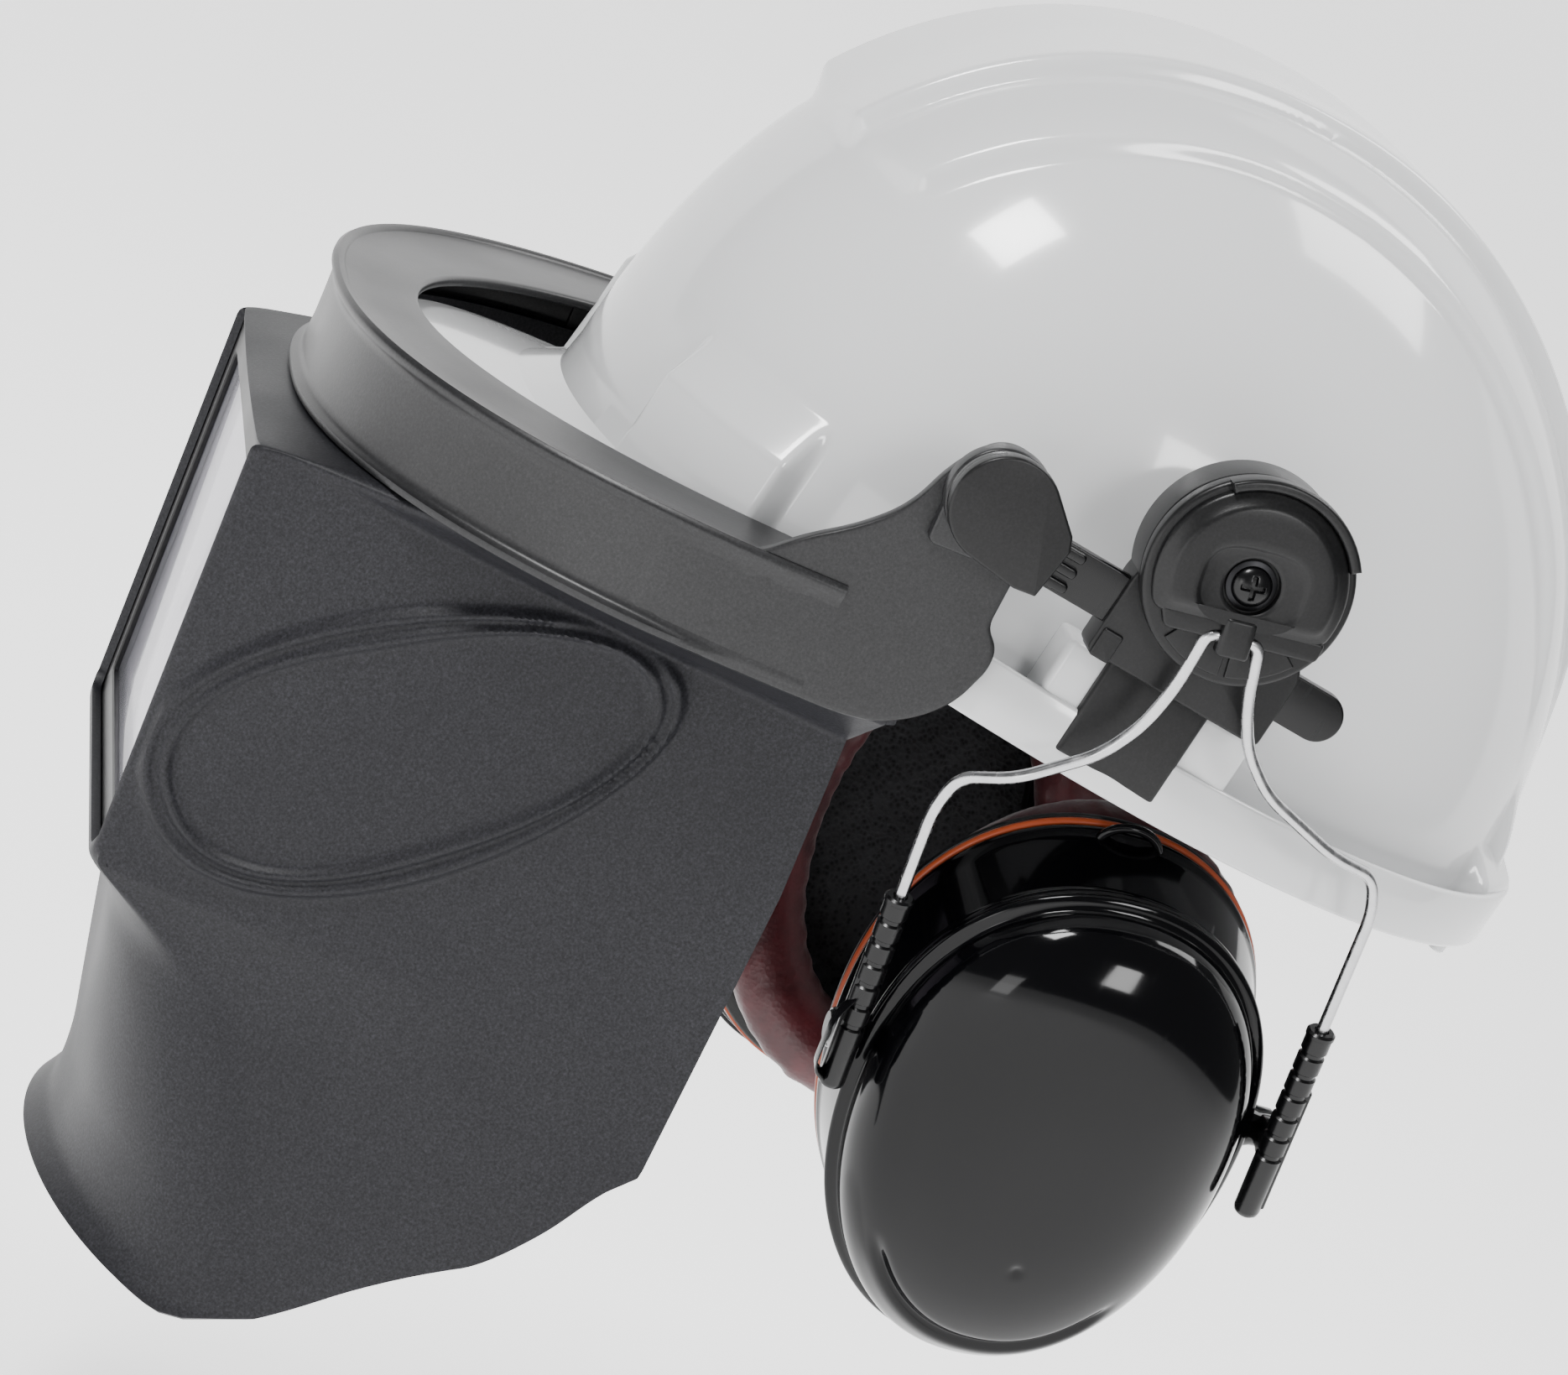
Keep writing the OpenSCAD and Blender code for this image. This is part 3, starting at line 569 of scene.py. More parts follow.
def relief(p):
    """How far the moulded ribs and blocks stand out of the plain dome."""
    x, y, z = np.abs(p[..., 0]), p[..., 1], p[..., 2]
    front_start = np.where(y < 0, step(79, 86, z), 1.0)
    rear_fade = np.where(y > 0, step(34, 92, z), 1.0)
    centre = (1.2 + 4.4 * np.minimum(x / 25, 1) ** 2) * (1 - step(26, 30.5, x))
    lower_edge = mix(2.4, 4.5, step(-15, -60, y))
    shoulder = (2.3 + 1.1 * step(33, 46, x)) * (1 - step(47, 47 + lower_edge, x))
    h = np.maximum(centre, shoulder * step(20, 33, x)) * front_start * rear_fade
    # Blocks over the harness sockets
    for cx, cy, tx, ty, half, top, slope, out in (
            (62, -94, 0.717, 0.696, 19, 20, 13, 7.0), (41, 112, 0.673, -0.741, 11, 14, 7, 6.5)):
        along = (x - cx) * tx + (y - cy) * ty
        near = np.hypot(x - cx, y - cy) < 60
        block = out * (1 - step(half - 1.5, half + 2, np.abs(along)))
        block = block * np.clip((top + slope - z) / slope, 0, 1)
        h = np.maximum(h, np.where(near, block, 0))
        rib = 3.5 * (1 - step(1.6, 3.6, np.abs(along + 1))) * (1 - step(top + 4, top + 26, z))
        h = np.maximum(h, np.where(near & (cy > 0), rib, 0))
    return h


def shell_shape():
    n_a, n_z = 720, 230
    a = np.linspace(0, 2 * math.pi, n_a, endpoint=False)
    low = 6.0
    z = DOME_H * np.cos(np.linspace(0.004, math.acos(low / DOME_H), n_z))
    g = dome_surface(a, z)
    da = np.roll(g, -1, 1) - np.roll(g, 1, 1)
    dz = np.gradient(g, axis=0)
    normal = unit(np.cross(dz, da))
    normal[0] = (0, 0, 1)
    g = g + normal * relief(g)[..., None]
    # Ease the edges of the relief once
    m = g.copy()
    m[1:-1] = (g[:-2] + g[2:] + np.roll(g, 1, 1)[1:-1] + np.roll(g, -1, 1)[1:-1]) / 4
    g = (g + m) / 2
    # Gutter, wall and lower edge
    o = oval(a, RIM_HALF, PEAK, RIM_REAR, DOME_Y, 1.85, 2.05)
    inward = unit(np.array([0, DOME_Y]) - o)
    base = g[-1][:, :2]
    inner = o + inward * WALL

    def ring(xy, height):
        sag = 7.0 * step(-62, -104, xy[:, 1]) * np.minimum(np.abs(xy[:, 0]) / 74, 1.2) ** 2
        return np.column_stack([xy, height + droop(xy[:, 1]) - sag])

    rings = [ring(mix(base, inner, 0.03), 3.6), ring(mix(base, inner, 0.10), 2.3)]
    rings += [ring(mix(base, inner, t), FLOOR + 0.3) for t in np.linspace(0.2, 0.86, 12)]
    top = wall_top(inner[:, 1])
    rings += [ring(mix(base, inner, 0.95), FLOOR + 0.3 + 0.05 * (top - FLOOR)),
              ring(mix(base, inner, 0.99), FLOOR + 0.3 + 0.2 * (top - FLOOR))]
    for inset, down in ((2.55, 0.9), (2.3, 0.35), (1.9, 0.08), (1.3, 0.0), (0.7, 0.08), (0.3, 0.35),
                        (0.02, 0.9)):
        rings.append(ring(o + inward * inset, np.maximum(top - down, FLOOR - 0.6)))
    for inset, rise in ((0.0, 1.1), (0.12, 0.5), (0.45, 0.12), (1.0, 0.0), (2.1, 0.05), (WALL, 0.5)):
        rings.append(ring(o + inward * inset, RIM_LOW + rise))
    rings += [ring(mix(base, inner, t), RIM_LOW + 0.5) for t in (0.8, 0.4)]
    inside = dome_surface(a, (DOME_H - WALL) * np.cos(np.linspace(math.pi / 2 - 0.004, 0.01, 40)), WALL)
    rings += list(inside)
    points = np.vstack([[(0, DOME_Y, g[0][:, 2].mean())], g.reshape(-1, 3), np.vstack(rings),
                        [(0, DOME_Y, DOME_H - WALL)]])
    rows = n_z + len(rings)
    faces = [(0, 1 + i, 1 + (i + 1) % n_a) for i in range(n_a)]
    faces += [tuple(v + 1 for v in reversed(f)) for f in grid_faces(rows, n_a, close_cols=True)]
    last = 1 + (rows - 1) * n_a
    faces += [(last + n_a, last + (i + 1) % n_a, last + i) for i in range(n_a)]
    return points, faces


def shell_fittings():
    """Brackets for the adaptors in the gutter, and the small pegs under the rear rim."""
    parts = []
    for side in (1, -1):
        bracket = rounded_box((95.5, -18, 2.2), (110.6, 30, 25.5), 1.6)
        profile = [(0.2, 0), (1.6, 0.1), (2.0, 0.6), (2.2, 6.4), (2.2, 7.4)]
        peg = carried(move(45, 118, -7), lathe(profile, 24))
        for shape in (bracket, peg):
            parts.append(shape if side > 0 else flip_x(*shape))
    return joined(*parts)


piece("shell_moulding", shell_shape(), WHITE, "helmet", ["shell"], sharp=50)
piece("shell_brackets", shell_fittings(), WHITE, "helmet")

# ---------- Visor carrier ----------

PIVOT = (0, -50, 44)
TILT = 8.5
IN_VISOR = move(*PIVOT) @ turned(TILT, "X")
FLANGE_Z, BAND, BAND_T = -31.0, 26.0, 2.5
CARRIER_HALF, CARRIER_FRONT, CARRIER_Y = 112.5, 137.4, 5.5
PIVOT_R = 12.0


def carrier_curve(inset, spread):
    """Open plan curve of the carrier round the front, in the visor's frame."""
    a = np.radians(np.linspace(270 - spread, 270 + spread, 361))
    return oval(a, CARRIER_HALF - inset, CARRIER_FRONT - inset, 10, CARRIER_Y, 2.4, 2)


def strip(rows):
    """Closed section carried from end to end: row by row round the section, with both ends filled."""
    n, m = len(rows[0]), len(rows)
    ends = [tuple(j * n for j in range(m - 1, -1, -1)), tuple(j * n + n - 1 for j in range(m))]
    return np.vstack(rows), grid_faces(m, n, close_rows=True) + ends


def carrier_wall():
    """Band round the front with a rolled upper edge and a thin lip along its lower edge."""
    n = 420
    c = resampled(carrier_curve(0, 82.0), n)
    out = across(c)
    k = np.linspace(-1, 1, n)
    lip = 2.2 * step(0.93, 0.75, np.abs(k))
    low = FLANGE_Z - BAND
    section = [(2.6, FLANGE_Z - 2.5), (1.6, FLANGE_Z + 0.1), (0.6, FLANGE_Z + 0.9), (-0.6, FLANGE_Z + 1.0),
               (-1.4, FLANGE_Z + 0.2), (-1.5, FLANGE_Z - 0.9), (-0.9, FLANGE_Z - 2.0), (-0.2, FLANGE_Z - 3.0),
               (0.0, FLANGE_Z - 4.5), (0.15, FLANGE_Z - 10), (0.2, FLANGE_Z - 16), (0.0, low + 5.0),
               (-0.1, low + 3.4)]
    lip_section = [(-0.2, low + 2.6, 0.2), (-0.1, low + 2.0, 0.9), (0.0, low + 1.2, 1.0),
                   (0.1, low + 0.5, 0.9), (0.6, low + 0.05, 0.5), (1.4, low, 0.0), (2.2, low + 0.3, 0.0),
                   (BAND_T, low + 1.0, 0.0), (BAND_T, FLANGE_Z - 6, 0.0)]
    rows = [flat_ring(c - out * inset, z) for inset, z in section]
    rows += [flat_ring(c - out * (inset - share * lip[:, None]), z) for inset, z, share in lip_section]
    points, faces = strip(rows)
    return through(IN_VISOR, points), [tuple(reversed(f)) for f in faces]


def carrier_flange():
    """Flat top from the rolled edge to the opening that clears the helmet."""
    n = 420
    outer = resampled(carrier_curve(1.5, 84.5), n)
    a = np.radians(np.linspace(194, 346, 200))
    opening = oval(a, 86, 118, 10, CARRIER_Y, 2.05, 2)
    opening = np.vstack([[(-111.3, -1.5)], opening, [(111.3, -1.5)]])
    # Ease the opening's line into its two tails
    opening = resampled(opening, n)
    for _ in range(60):
        opening[1:-1] = (opening[:-2] + opening[2:] + 2 * opening[1:-1]) / 4
    rows = []
    for share, rise in ((0.0, 0.1), (0.03, -0.15), (0.3, -0.35), (0.7, -0.2), (0.93, 0.0), (0.97, -0.1),
                        (0.992, -0.5), (1.0, -1.2), (0.992, -2.1), (0.96, -2.5), (0.5, -2.5), (0.0, -2.5)):
        rows.append(flat_ring(mix(outer, opening, share), FLANGE_Z + rise))
    points, faces = strip(rows)
    return through(IN_VISOR, points), faces


ARM = [(-62, FLANGE_Z - 1.5), (-42, FLANGE_Z - 1.0), (-34, -24.0), (-24, -17.0), (-16, -9.0), (-11.2, 3),
       (-4, 11.4), (4, 11.4), (11.4, 3), (10.9, -16), (10.2, -27), (13.9, -30.6), (14.2, -35.6), (10.6, -45),
       (4.5, -51.2), (-3, -55.4), (-12, FLANGE_Z - BAND + 0.2), (-62, FLANGE_Z - BAND + 0.3)]
ARM_R = [0.5, 14, 8, 10, 8, 8, 8, 8, 8, 6, 2.5, 3, 4, 6, 8, 6, 8, 0.5]


def arm_face_x(y):
    """Outer face of the arm: flush with the band, then straight back."""
    t = np.clip((CARRIER_Y - y) / CARRIER_FRONT, 0, 1)
    straight = mix(112.27, 113.0, np.clip((y + 9) / 16, 0, 1))
    return np.where(y < -9, CARRIER_HALF * (1 - t ** 2.4) ** (1 / 2.4), straight)


def carrier_arm():
    corners = rounded_outline(ARM, ARM_R, 6)
    outline = evened(corners, 259)[::-1]
    centre = np.array([-12.0, -30.0])
    rim = [(outline + unit(centre - outline) * shrink, depth)
           for shrink, depth in ((0.0, 3.4), (0.2, 3.75), (0.5, 3.95))]
    face = [(mix(outline, centre, t), 4.0) for t in (0.05, 0.15, 0.3, 0.5, 0.7, 0.85, 0.97)]
    ring_list = [(p, 4.0 - d) for p, d in (rim + face)[::-1]] + rim + face
    # Outer side first: depth 0 is the outer face and 4 is the inner one
    rings = [np.column_stack([arm_face_x(p[:, 0]) + 0.05 - depth * 0.8, p]) for p, depth in ring_list]
    points, faces = loft(rings)
    shape = points, [tuple(reversed(f)) for f in faces]
    boss = side_plate(112.4, circle(PIVOT_R - 0.2), 0, 4.8, 0.7)
    web = side_plate(111.6, rounded_outline(box_corners(-10.5, -14, 9.8, 2), 2), 0, 3.6, 0.6)
    return carried(IN_VISOR, joined(shape, boss, web))


left_arm = carrier_arm()
piece("carrier_band", carrier_wall(), CARRIER, "visor", ["visor_carrier"], sharp=45)
piece("carrier_flange", carrier_flange(), CARRIER, "visor", sharp=50)
piece("carrier_arms", joined(left_arm, flip_x(*left_arm)), CARRIER, "visor", sharp=45)

# ---------- Face shield ----------

BOX_HALF, BOX_TOP, BOX_LOW, BOX_FRONT, RAKE = 60.0, -37.0, -138.0, -182.5, 0.178
CHIN_Z, LOW_Z = -212.0, -219.0
SHIELD_T = 2.2


def shield_panel(s, v):
    """Outer face below the top crease. s runs from side to side and v from the crease down."""
    q = np.clip((np.abs(s) - 0.4) / 0.6, 0, 1)
    y_top = mix(BOX_FRONT, -43.0, q)
    top = BOX_TOP + 0.108 * (y_top - BOX_FRONT)
    # Along the lower edge the plan is a half oval that runs into the two straight sides
    from_centre = np.minimum(np.abs(s) / 0.4, 1)
    y_low = np.where(q == 0, -79.0 - 50.0 * np.sqrt(1 - from_centre ** 2), mix(-79.0, -30.0, q))
    low = mix(LOW_Z, -154.0, np.clip((y_low + 95) / 65, 0, 1) ** 1.35)
    low = low + 22 * np.clip((q - 0.72) / 0.28, 0, 1) ** 2
    z = mix(top, low, v)
    # Below the box the front draws back and its corners round off
    lower = 1 - (1 - np.clip((BOX_LOW - z) / 18, 0, 1)) ** 2.4
    box = BOX_FRONT + RAKE * (BOX_TOP - z)
    chin = mix(-155.0, -129.0, np.clip((BOX_LOW - z) / (BOX_LOW - CHIN_Z), 0, 1))
    flare = np.clip((-195 - z) / 24, 0, 1) ** 1.8
    front = mix(box, chin, lower) - 6 * flare
    rear = np.where(z > -60, mix(-43.0, -36.0, np.clip((-22 - z) / 38, 0, 1)),
                    mix(-36.0, -28.0, np.clip((-60 - z) / 70, 0, 1)))
    round_off = np.clip((BOX_LOW - z) / 70, 0, 1)
    deep = mix(26.0, 50.0, round_off) * lower + 0.01
    y_side = mix(front + deep, rear, q)

    def half_at(y):
        t = np.clip((y - box) / (rear - box), 0, 1)
        # The crease under the box rises and fades towards the rear
        drop = np.clip((mix(BOX_LOW, -119.0, np.minimum(t / 0.72, 1)) - z) / mix(18, 40, t), 0, 1)
        recess = 5.0 * (1 - (1 - drop) ** 2.4) * np.clip((-62 - y) / 60, 0, 1) ** 1.3
        return BOX_HALF + (94.0 - BOX_HALF) * t ** 0.86 - recess + 2.0 * flare * (1 - t)

    edge = half_at(front + deep)
    x = np.where(q == 0, edge * from_centre, half_at(y_side))
    wide = mix(34.0, edge, round_off) * lower + 0.01
    c = np.clip((x - (edge - wide)) / wide, 0, 1)
    y = np.where(q == 0, front + deep * (1 - np.sqrt(np.maximum(0, 1 - c * c))), y_side)
    return np.stack([np.sign(s) * x, y, z], -1)


def rim_line(s, rise):
    a = math.pi + (s + 1) * math.pi / 2
    c = oval(a, CARRIER_HALF - BAND_T - 0.6, CARRIER_FRONT - BAND_T - 0.6, 10, CARRIER_Y, 2.4, 2)
    y = np.minimum(c[:, 1], CARRIER_Y - 6)
    return through(IN_VISOR, np.column_stack([c[:, 0], y, np.full(len(s), FLANGE_Z - BAND + rise)]))


def shield_shape():
    side, front = 200, 90
    s = np.concatenate([np.linspace(-1, -0.4, side), np.linspace(-0.4, 0.4, front)[1:-1],
                        np.linspace(0.4, 1, side)])
    window_rows, window_end, crease_end = 150, 0.544, 0.60
    v = np.concatenate([np.linspace(0, window_end, window_rows), np.linspace(window_end, crease_end, 34)[1:],
                        np.linspace(crease_end, 1, 120)[1:]])
    S, V = np.meshgrid(s, v)
    panel = shield_panel(S, V)
    rim = [rim_line(s, 12), rim_line(s, 6), rim_line(s, 1.0)]
    top = panel[0]
    bridge = [mix(rim[-1], top, t) for t in np.linspace(0, 1, 14)[1:-1]]
    g = np.concatenate([np.stack(rim + bridge), panel])
    first = len(rim) + len(bridge)
    cols, rows = len(s), g.shape[0]
    # Soften the creases
    j, i = np.meshgrid(np.arange(rows), np.arange(cols), indexing="ij")
    corner = np.minimum(np.abs(i - (side - 1)), np.abs(i - (side + front - 2)))
    near = np.where(np.abs(j - first) < 2, 0.4, 0)
    near = np.where((corner < 3) | (j > first + window_rows - 2), 0.5, near)
    near[:3] = 0
    near[:, 0] = near[:, -1] = 0
    near[-1] = 0
    for _ in range(12):
        m = g.copy()
        m[1:-1, 1:-1] = (g[:-2, 1:-1] + g[2:, 1:-1] + g[1:-1, :-2] + g[1:-1, 2:]) / 4
        g = g + (m - g) * near[..., None]
    # Double oval ridge on each side panel
    c, n = math.cos(math.radians(47.5)), math.sin(math.radians(47.5))
    dy, dz = g[..., 1] + 120.0, g[..., 2] + 75.0
    u = (dy * c + dz * n) / 57.0
    w = (-dy * n + dz * c) / (26.0 * (1 - 0.17 * np.clip(u, -1, 1)))
    radial = (np.abs(u) ** 2.2 + np.abs(w) ** 2.2) ** (1 / 2.2)
    gap = (radial - 1) * np.hypot(u * 57, w * 26) / np.maximum(radial, 0.05)
    gap = np.where(radial > 0.05, gap, -26)
    ridge = 1.8 * (bell(gap - 2.1, 1.5) + bell(gap + 2.1, 1.5)) + 0.9 * bell(gap, 4.5)
    ridge += 0.9 * step(1.0, 0.86, radial)
    fade = step(0.005, 0.04, V) * (np.abs(S) > 0.41) * (V < 0.97)
    ridge = np.concatenate([np.zeros((first, cols)), ridge[first:] * fade])
    g[..., 0] += np.sign(g[..., 0]) * ridge

    def in_window(col, row):
        return side - 1 <= col < side + front - 2 and first <= row < first + window_rows - 1
    return g.reshape(-1, 3), grid_faces(rows, cols, skip=in_window)


shield = piece("shield_moulding", shield_shape(), GRAPHITE, "visor", ["face_shield"], sharp=60)
skin = shield.modifiers.new("thickness", "SOLIDIFY")
skin.thickness = SHIELD_T * MM
skin.offset = 1
skin.use_even_offset = False
edge = shield.modifiers.new("edges", "BEVEL")
edge.width = 0.6 * MM
edge.segments = 3
edge.limit_method = "ANGLE"
edge.angle_limit = math.radians(62)

# ---------- Adaptors, plates, blades and pivots ----------

ADAPTOR = (0, 2, 58)
PLATE_X, PLATE_R, BASE_X = 124.4, 23.0, 112.0
BAR_OFF, BAR_DROP = 5.8, 12.0
BLADE_X, BLADE_Z, BLADE_R, BLADE_T, TAIL = 117.6, 39.4, 5.7, 3.0, 40.0
SIDES = (("left", 1, 16.0, 0.0), ("right", -1, 8.0, 8.0))


def put_piece(name, side, matrix, shape, material, body, stands_for=(), sharp=40):
    moved = carried(matrix, shape)
    if side < 0:
        moved = flip_x(*moved)
    return piece(name, moved, material, body, stands_for, sharp)


def base_shape():
    disc = side_plate(BASE_X, circle(PLATE_R - 0.4, 120), 0, 11.9, 0.9, *ADAPTOR[1:])
    step_disc = side_plate(BASE_X, circle(PLATE_R - 3.0, 120), 11, 12.3, 0.4, *ADAPTOR[1:])
    block = side_plate(BASE_X, blunted([(-18, 27), (26, 27), (26, 46), (18, 52), (-16, 52), (-18, 47)],
                                       [1.6, 1.6, 4, 4, 3, 2]), 0, 9.9, 0.7)
    wedge = side_plate(BASE_X + 1, blunted(box_corners(-17.2, 26.6, -12.4, 33.4), 0.8), 0, 9.6, 0.5)
    foot = rounded_box((99.2, -8.8, 3.2), (113, 16.8, 30), 0.9)
    return joined(disc, step_disc, block, wedge, foot)


def polar(radius_of):
    t = np.linspace(0, 2 * math.pi, 144, endpoint=False)
    return circle(1, 144) * radius_of(t)[:, None]


def cap_radius(grow):
    def radius_of(t):
        down = np.where(np.sin(t) < -0.05, (9.5 + grow) / np.maximum(-np.sin(t), 0.05), 99)
        r = np.full_like(t, 20.6 + grow)
        return (r ** -14 + down ** -14) ** (-1 / 14)
    return radius_of


def dish_radius(grow):
    def radius_of(t):
        across_share, up_share = np.abs(np.cos(t)) / (11.6 + grow), np.abs(np.sin(t)) / (8.7 + grow)
        return (across_share ** 3 + up_share ** 3) ** (-1 / 3)
    return radius_of


def arc_band(inner, outer, start, end, n):
    """Outline between two radii and two angles in degrees."""
    t = np.radians(np.linspace(start, end, n))
    ray = np.stack([np.cos(t), np.sin(t)], 1)
    return np.vstack([outer * ray, inner * ray[::-1]])


def plate_shape():
    """Muff plate in its own frame: disc, raised cap, dished face, lip, fan of ribs and bearing."""
    disc = side_plate(0, circle(PLATE_R, 144), 0, 4.4, 1.1)
    rings = [flat_ring(polar(cap_radius(g)), h) for g, h in (
        (0.5, 4.2), (0.5, 5.4), (0.2, 5.9), (-0.2, 6.2), (-1.2, 6.6), (-2.4, 7.6), (-2.9, 8.0), (-3.6, 8.2))]
    cap_edge, dish_edge = polar(cap_radius(-3.6)), polar(dish_radius(0.4))
    rings += [flat_ring(mix(cap_edge, dish_edge, f), 8.25) for f in (0.4, 0.8)]
    rings += [flat_ring(polar(dish_radius(g)), h)
              for g, h in ((0.4, 8.25), (0.0, 8.1), (-0.5, 7.5), (-0.9, 7.3))]
    rings += [flat_ring(circle(r, 144), h)
              for r, h in ((7.2, 7.3), (6.6, 7.2), (6.2, 6.8), (6.1, 5.0), (2.4, 5.0))]
    cap = carried(SIDE, loft(rings, caps=False))
    lip = side_plate(0, arc_band(21.0, 23.5, 22, 118, 40), 2.6, 7.4, 0.9)
    bearing = carried(move(0.6, -3.6, -BAR_DROP - 3.8), rounded_box((0, 0, 0), (8.2, 7.2, 8.6), 1.0))
    shelf_corners = [(-15.5, -13.0), (18.5, -13.0), (19.5, -8.4), (-17.5, -8.4)]
    shelf = side_plate(0, blunted(shelf_corners, 1.2), 3.8, 6.3, 0.7)
    fans = [side_plate(0, arc_band(12.5, 21.0, low, high, 14), 3.9, 5.1, 0.45)
            for low, high in ((-133, -112), (-108, -92), (-88, -72), (-68, -46))]
    return joined(disc, cap, lip, bearing, shelf, *fans)


def screw_shape():
    """Domed cross-head screw about its own axis, z outwards."""
    n_r, n = 34, 120
    r = np.linspace(0.02, 4.4, n_r)
    t = np.linspace(0, 2 * math.pi, n, endpoint=False)
    R, T = np.meshgrid(r, t, indexing="ij")
    x, y = R * np.cos(T), R * np.sin(T)
    z = 2.5 * np.sqrt(np.maximum(0, 1 - (R / 4.5) ** 2))
    arm = np.minimum(np.abs(x), np.abs(y))
    cut = (1 - step(0.42, 0.66, arm)) * (1 - step(2.3, 2.8, R))
    z = z - 1.5 * cut * mix(1, 0.5, R / 4.4)
    head = np.stack([x, y, z], -1).reshape(-1, 3)
    shank = ((4.4, -0.5), (4.2, -1.0), (2.0, -1.1), (2.0, -12.0), (0.3, -12.4))
    points = np.vstack([head] + [flat_ring(circle(radius, n), low) for radius, low in shank])
    return points, [tuple(reversed(f)) for f in grid_faces(n_r + len(shank), n, close_cols=True)]


def washer_shape():
    return loft([flat_ring(circle(r), h) for r, h in (
        (2.3, 0.0), (5.4, 0.0), (5.6, 0.15), (5.6, 0.55), (5.4, 0.7), (2.3, 0.7))], loop=True)


def blade_shape():
    """Blade that slides in the adaptor: disc at the pivot, long strap with a round tail, three grip ribs."""
    a = np.linspace(0, 6.28, 60)
    round_end = (PIVOT[1:] + 11.6 * np.stack([np.cos(a), np.sin(a)], 1)).tolist()
    outline = evened(np.array(hull(round_end + [(-36.5, 33.8), (-36.5, 45.0)])), 120)
    disc = side_plate(BLADE_X, outline, 0, BLADE_T, 0.5)
    a = np.linspace(-1.5708, 1.5708, 24)
    tail = np.stack([TAIL - BLADE_R + BLADE_R * np.cos(a), BLADE_Z + BLADE_R * np.sin(a)], 1)
    strap_line = np.vstack([[(PIVOT[1], BLADE_Z - BLADE_R)], tail, [(PIVOT[1], BLADE_Z + BLADE_R)]])
    strap = side_plate(BLADE_X, evened(strap_line, 240), 0, BLADE_T, 0.55)
    ribs = []
    for at in (BLADE_Z - 3.7, BLADE_Z, BLADE_Z + 3.7):
        rib = rounded_outline(box_corners(-37, at - 1.25, -28.6, at + 1.25), 1.2)
        ribs.append(side_plate(BLADE_X, rib, 2.4, 4.3, 0.6))
    return joined(disc, strap, *ribs)


def pivot_plate_shape():
    a = np.linspace(0, 6.28, 90)
    outline = (12.0 * np.stack([np.cos(a), np.sin(a)], 1)).tolist()
    outline = evened(np.array(hull(outline + [(15.4, 2.6), (16.8, -0.4), (15.6, -12.4), (10.6, -13.2)])), 200)
    plate = side_plate(BLADE_X + BLADE_T, outline, 0.1, 3.6, 0.7, *PIVOT[1:])
    return joined(plate, side_plate(110.6, circle(4.0), 0, 10.2, 0.4, *PIVOT[1:]))


for name, side, turn, lift in SIDES:
    fixed = Matrix.Identity(4)
    plate_at = move(*ADAPTOR) @ turned(turn, "X") @ move(PLATE_X, 0, 0)
    screw_at = move(PLATE_X + 6, *ADAPTOR[1:]) @ SIDE @ turned(20, "Z")
    washer_at = move(PLATE_X + 5.2, *ADAPTOR[1:]) @ SIDE
    for word, at, shape, material, body, node in (
            ("adaptor_base_{}_moulding", fixed, base_shape(), BLACK, "helmet", "adaptor_base_"),
            ("muff_plate_{}_moulding", plate_at, plate_shape(), BLACK, "muff_turn_" + name, "muff_plate_"),
            ("screw_{}", screw_at, screw_shape(), SMOOTH_BLACK, "helmet", "adaptor_screw_"),
            ("washer_{}", washer_at, washer_shape(), BLACKENED, "helmet", "friction_washer_"),
            ("blade_{}", fixed, blade_shape(), SMOOTH_BLACK, "visor_slide", "visor_blade_"),
            ("pivot_plate_{}", fixed, pivot_plate_shape(), BLACK, "visor_slide", "pivot_pin_")):
        put_piece(word.format(name), side, at, shape, material, body, [node + name])

# ---------- Ear muffs ----------

LEAN, CUP_LEAN, STEP_IN, CUP_OUT = 12.0, 4.0, 8.0, -7.0
TUBE_TOP = {-1: 96.0, 1: 104.5}
TUBE_LEN, TUBE_HALF, TUBE_R, SHIFT = 51.0, 50.5, 3.1, 4.5
CUP_DROP, TILT_X, TILT_UP = 150.0, -5.5, 10.0
CUP_L, CUP_W, CUP_TAPER = 126.0, 88.0, 0.07
PAD_INSET, PAD_OFF = 8.5, 4
WIRE_R, WIRE_GRIP = 1.4, 26.0


def in_yoke(turn):
    return move(*ADAPTOR) @ turned(turn, "X") @ move(PLATE_X + BAR_OFF, 0, -BAR_DROP) @ turned(LEAN, "Y")


def in_cup(turn, lift):
    return (in_yoke(turn) @ move(CUP_OUT - STEP_IN + TILT_X, SHIFT, BAR_DROP - CUP_DROP + TILT_UP + lift)
            @ turned(CUP_LEAN, "Y") @ move(-TILT_X, 0, -TILT_UP))


def egg_ring(grow, depth, scale=1.0):
    """The cup's outline in its own (y, z), wider towards the top, at a depth along its axis."""
    a = np.linspace(0, 2 * math.pi, 240, endpoint=False)
    y, z = np.cos(a), np.sin(a)
    w = CUP_W / 2 * (1 + CUP_TAPER * z)
    return np.stack([np.full(240, depth), scale * (w + grow) * spow(y, 0.93),
                     scale * (CUP_L / 2 + grow) * spow(z, 0.93)], 1)


def egg_loft(profile):
    """Closed ring from (growth, depth) pairs round the cup's outline."""
    return loft([egg_ring(g, x) for g, x in profile], loop=True)


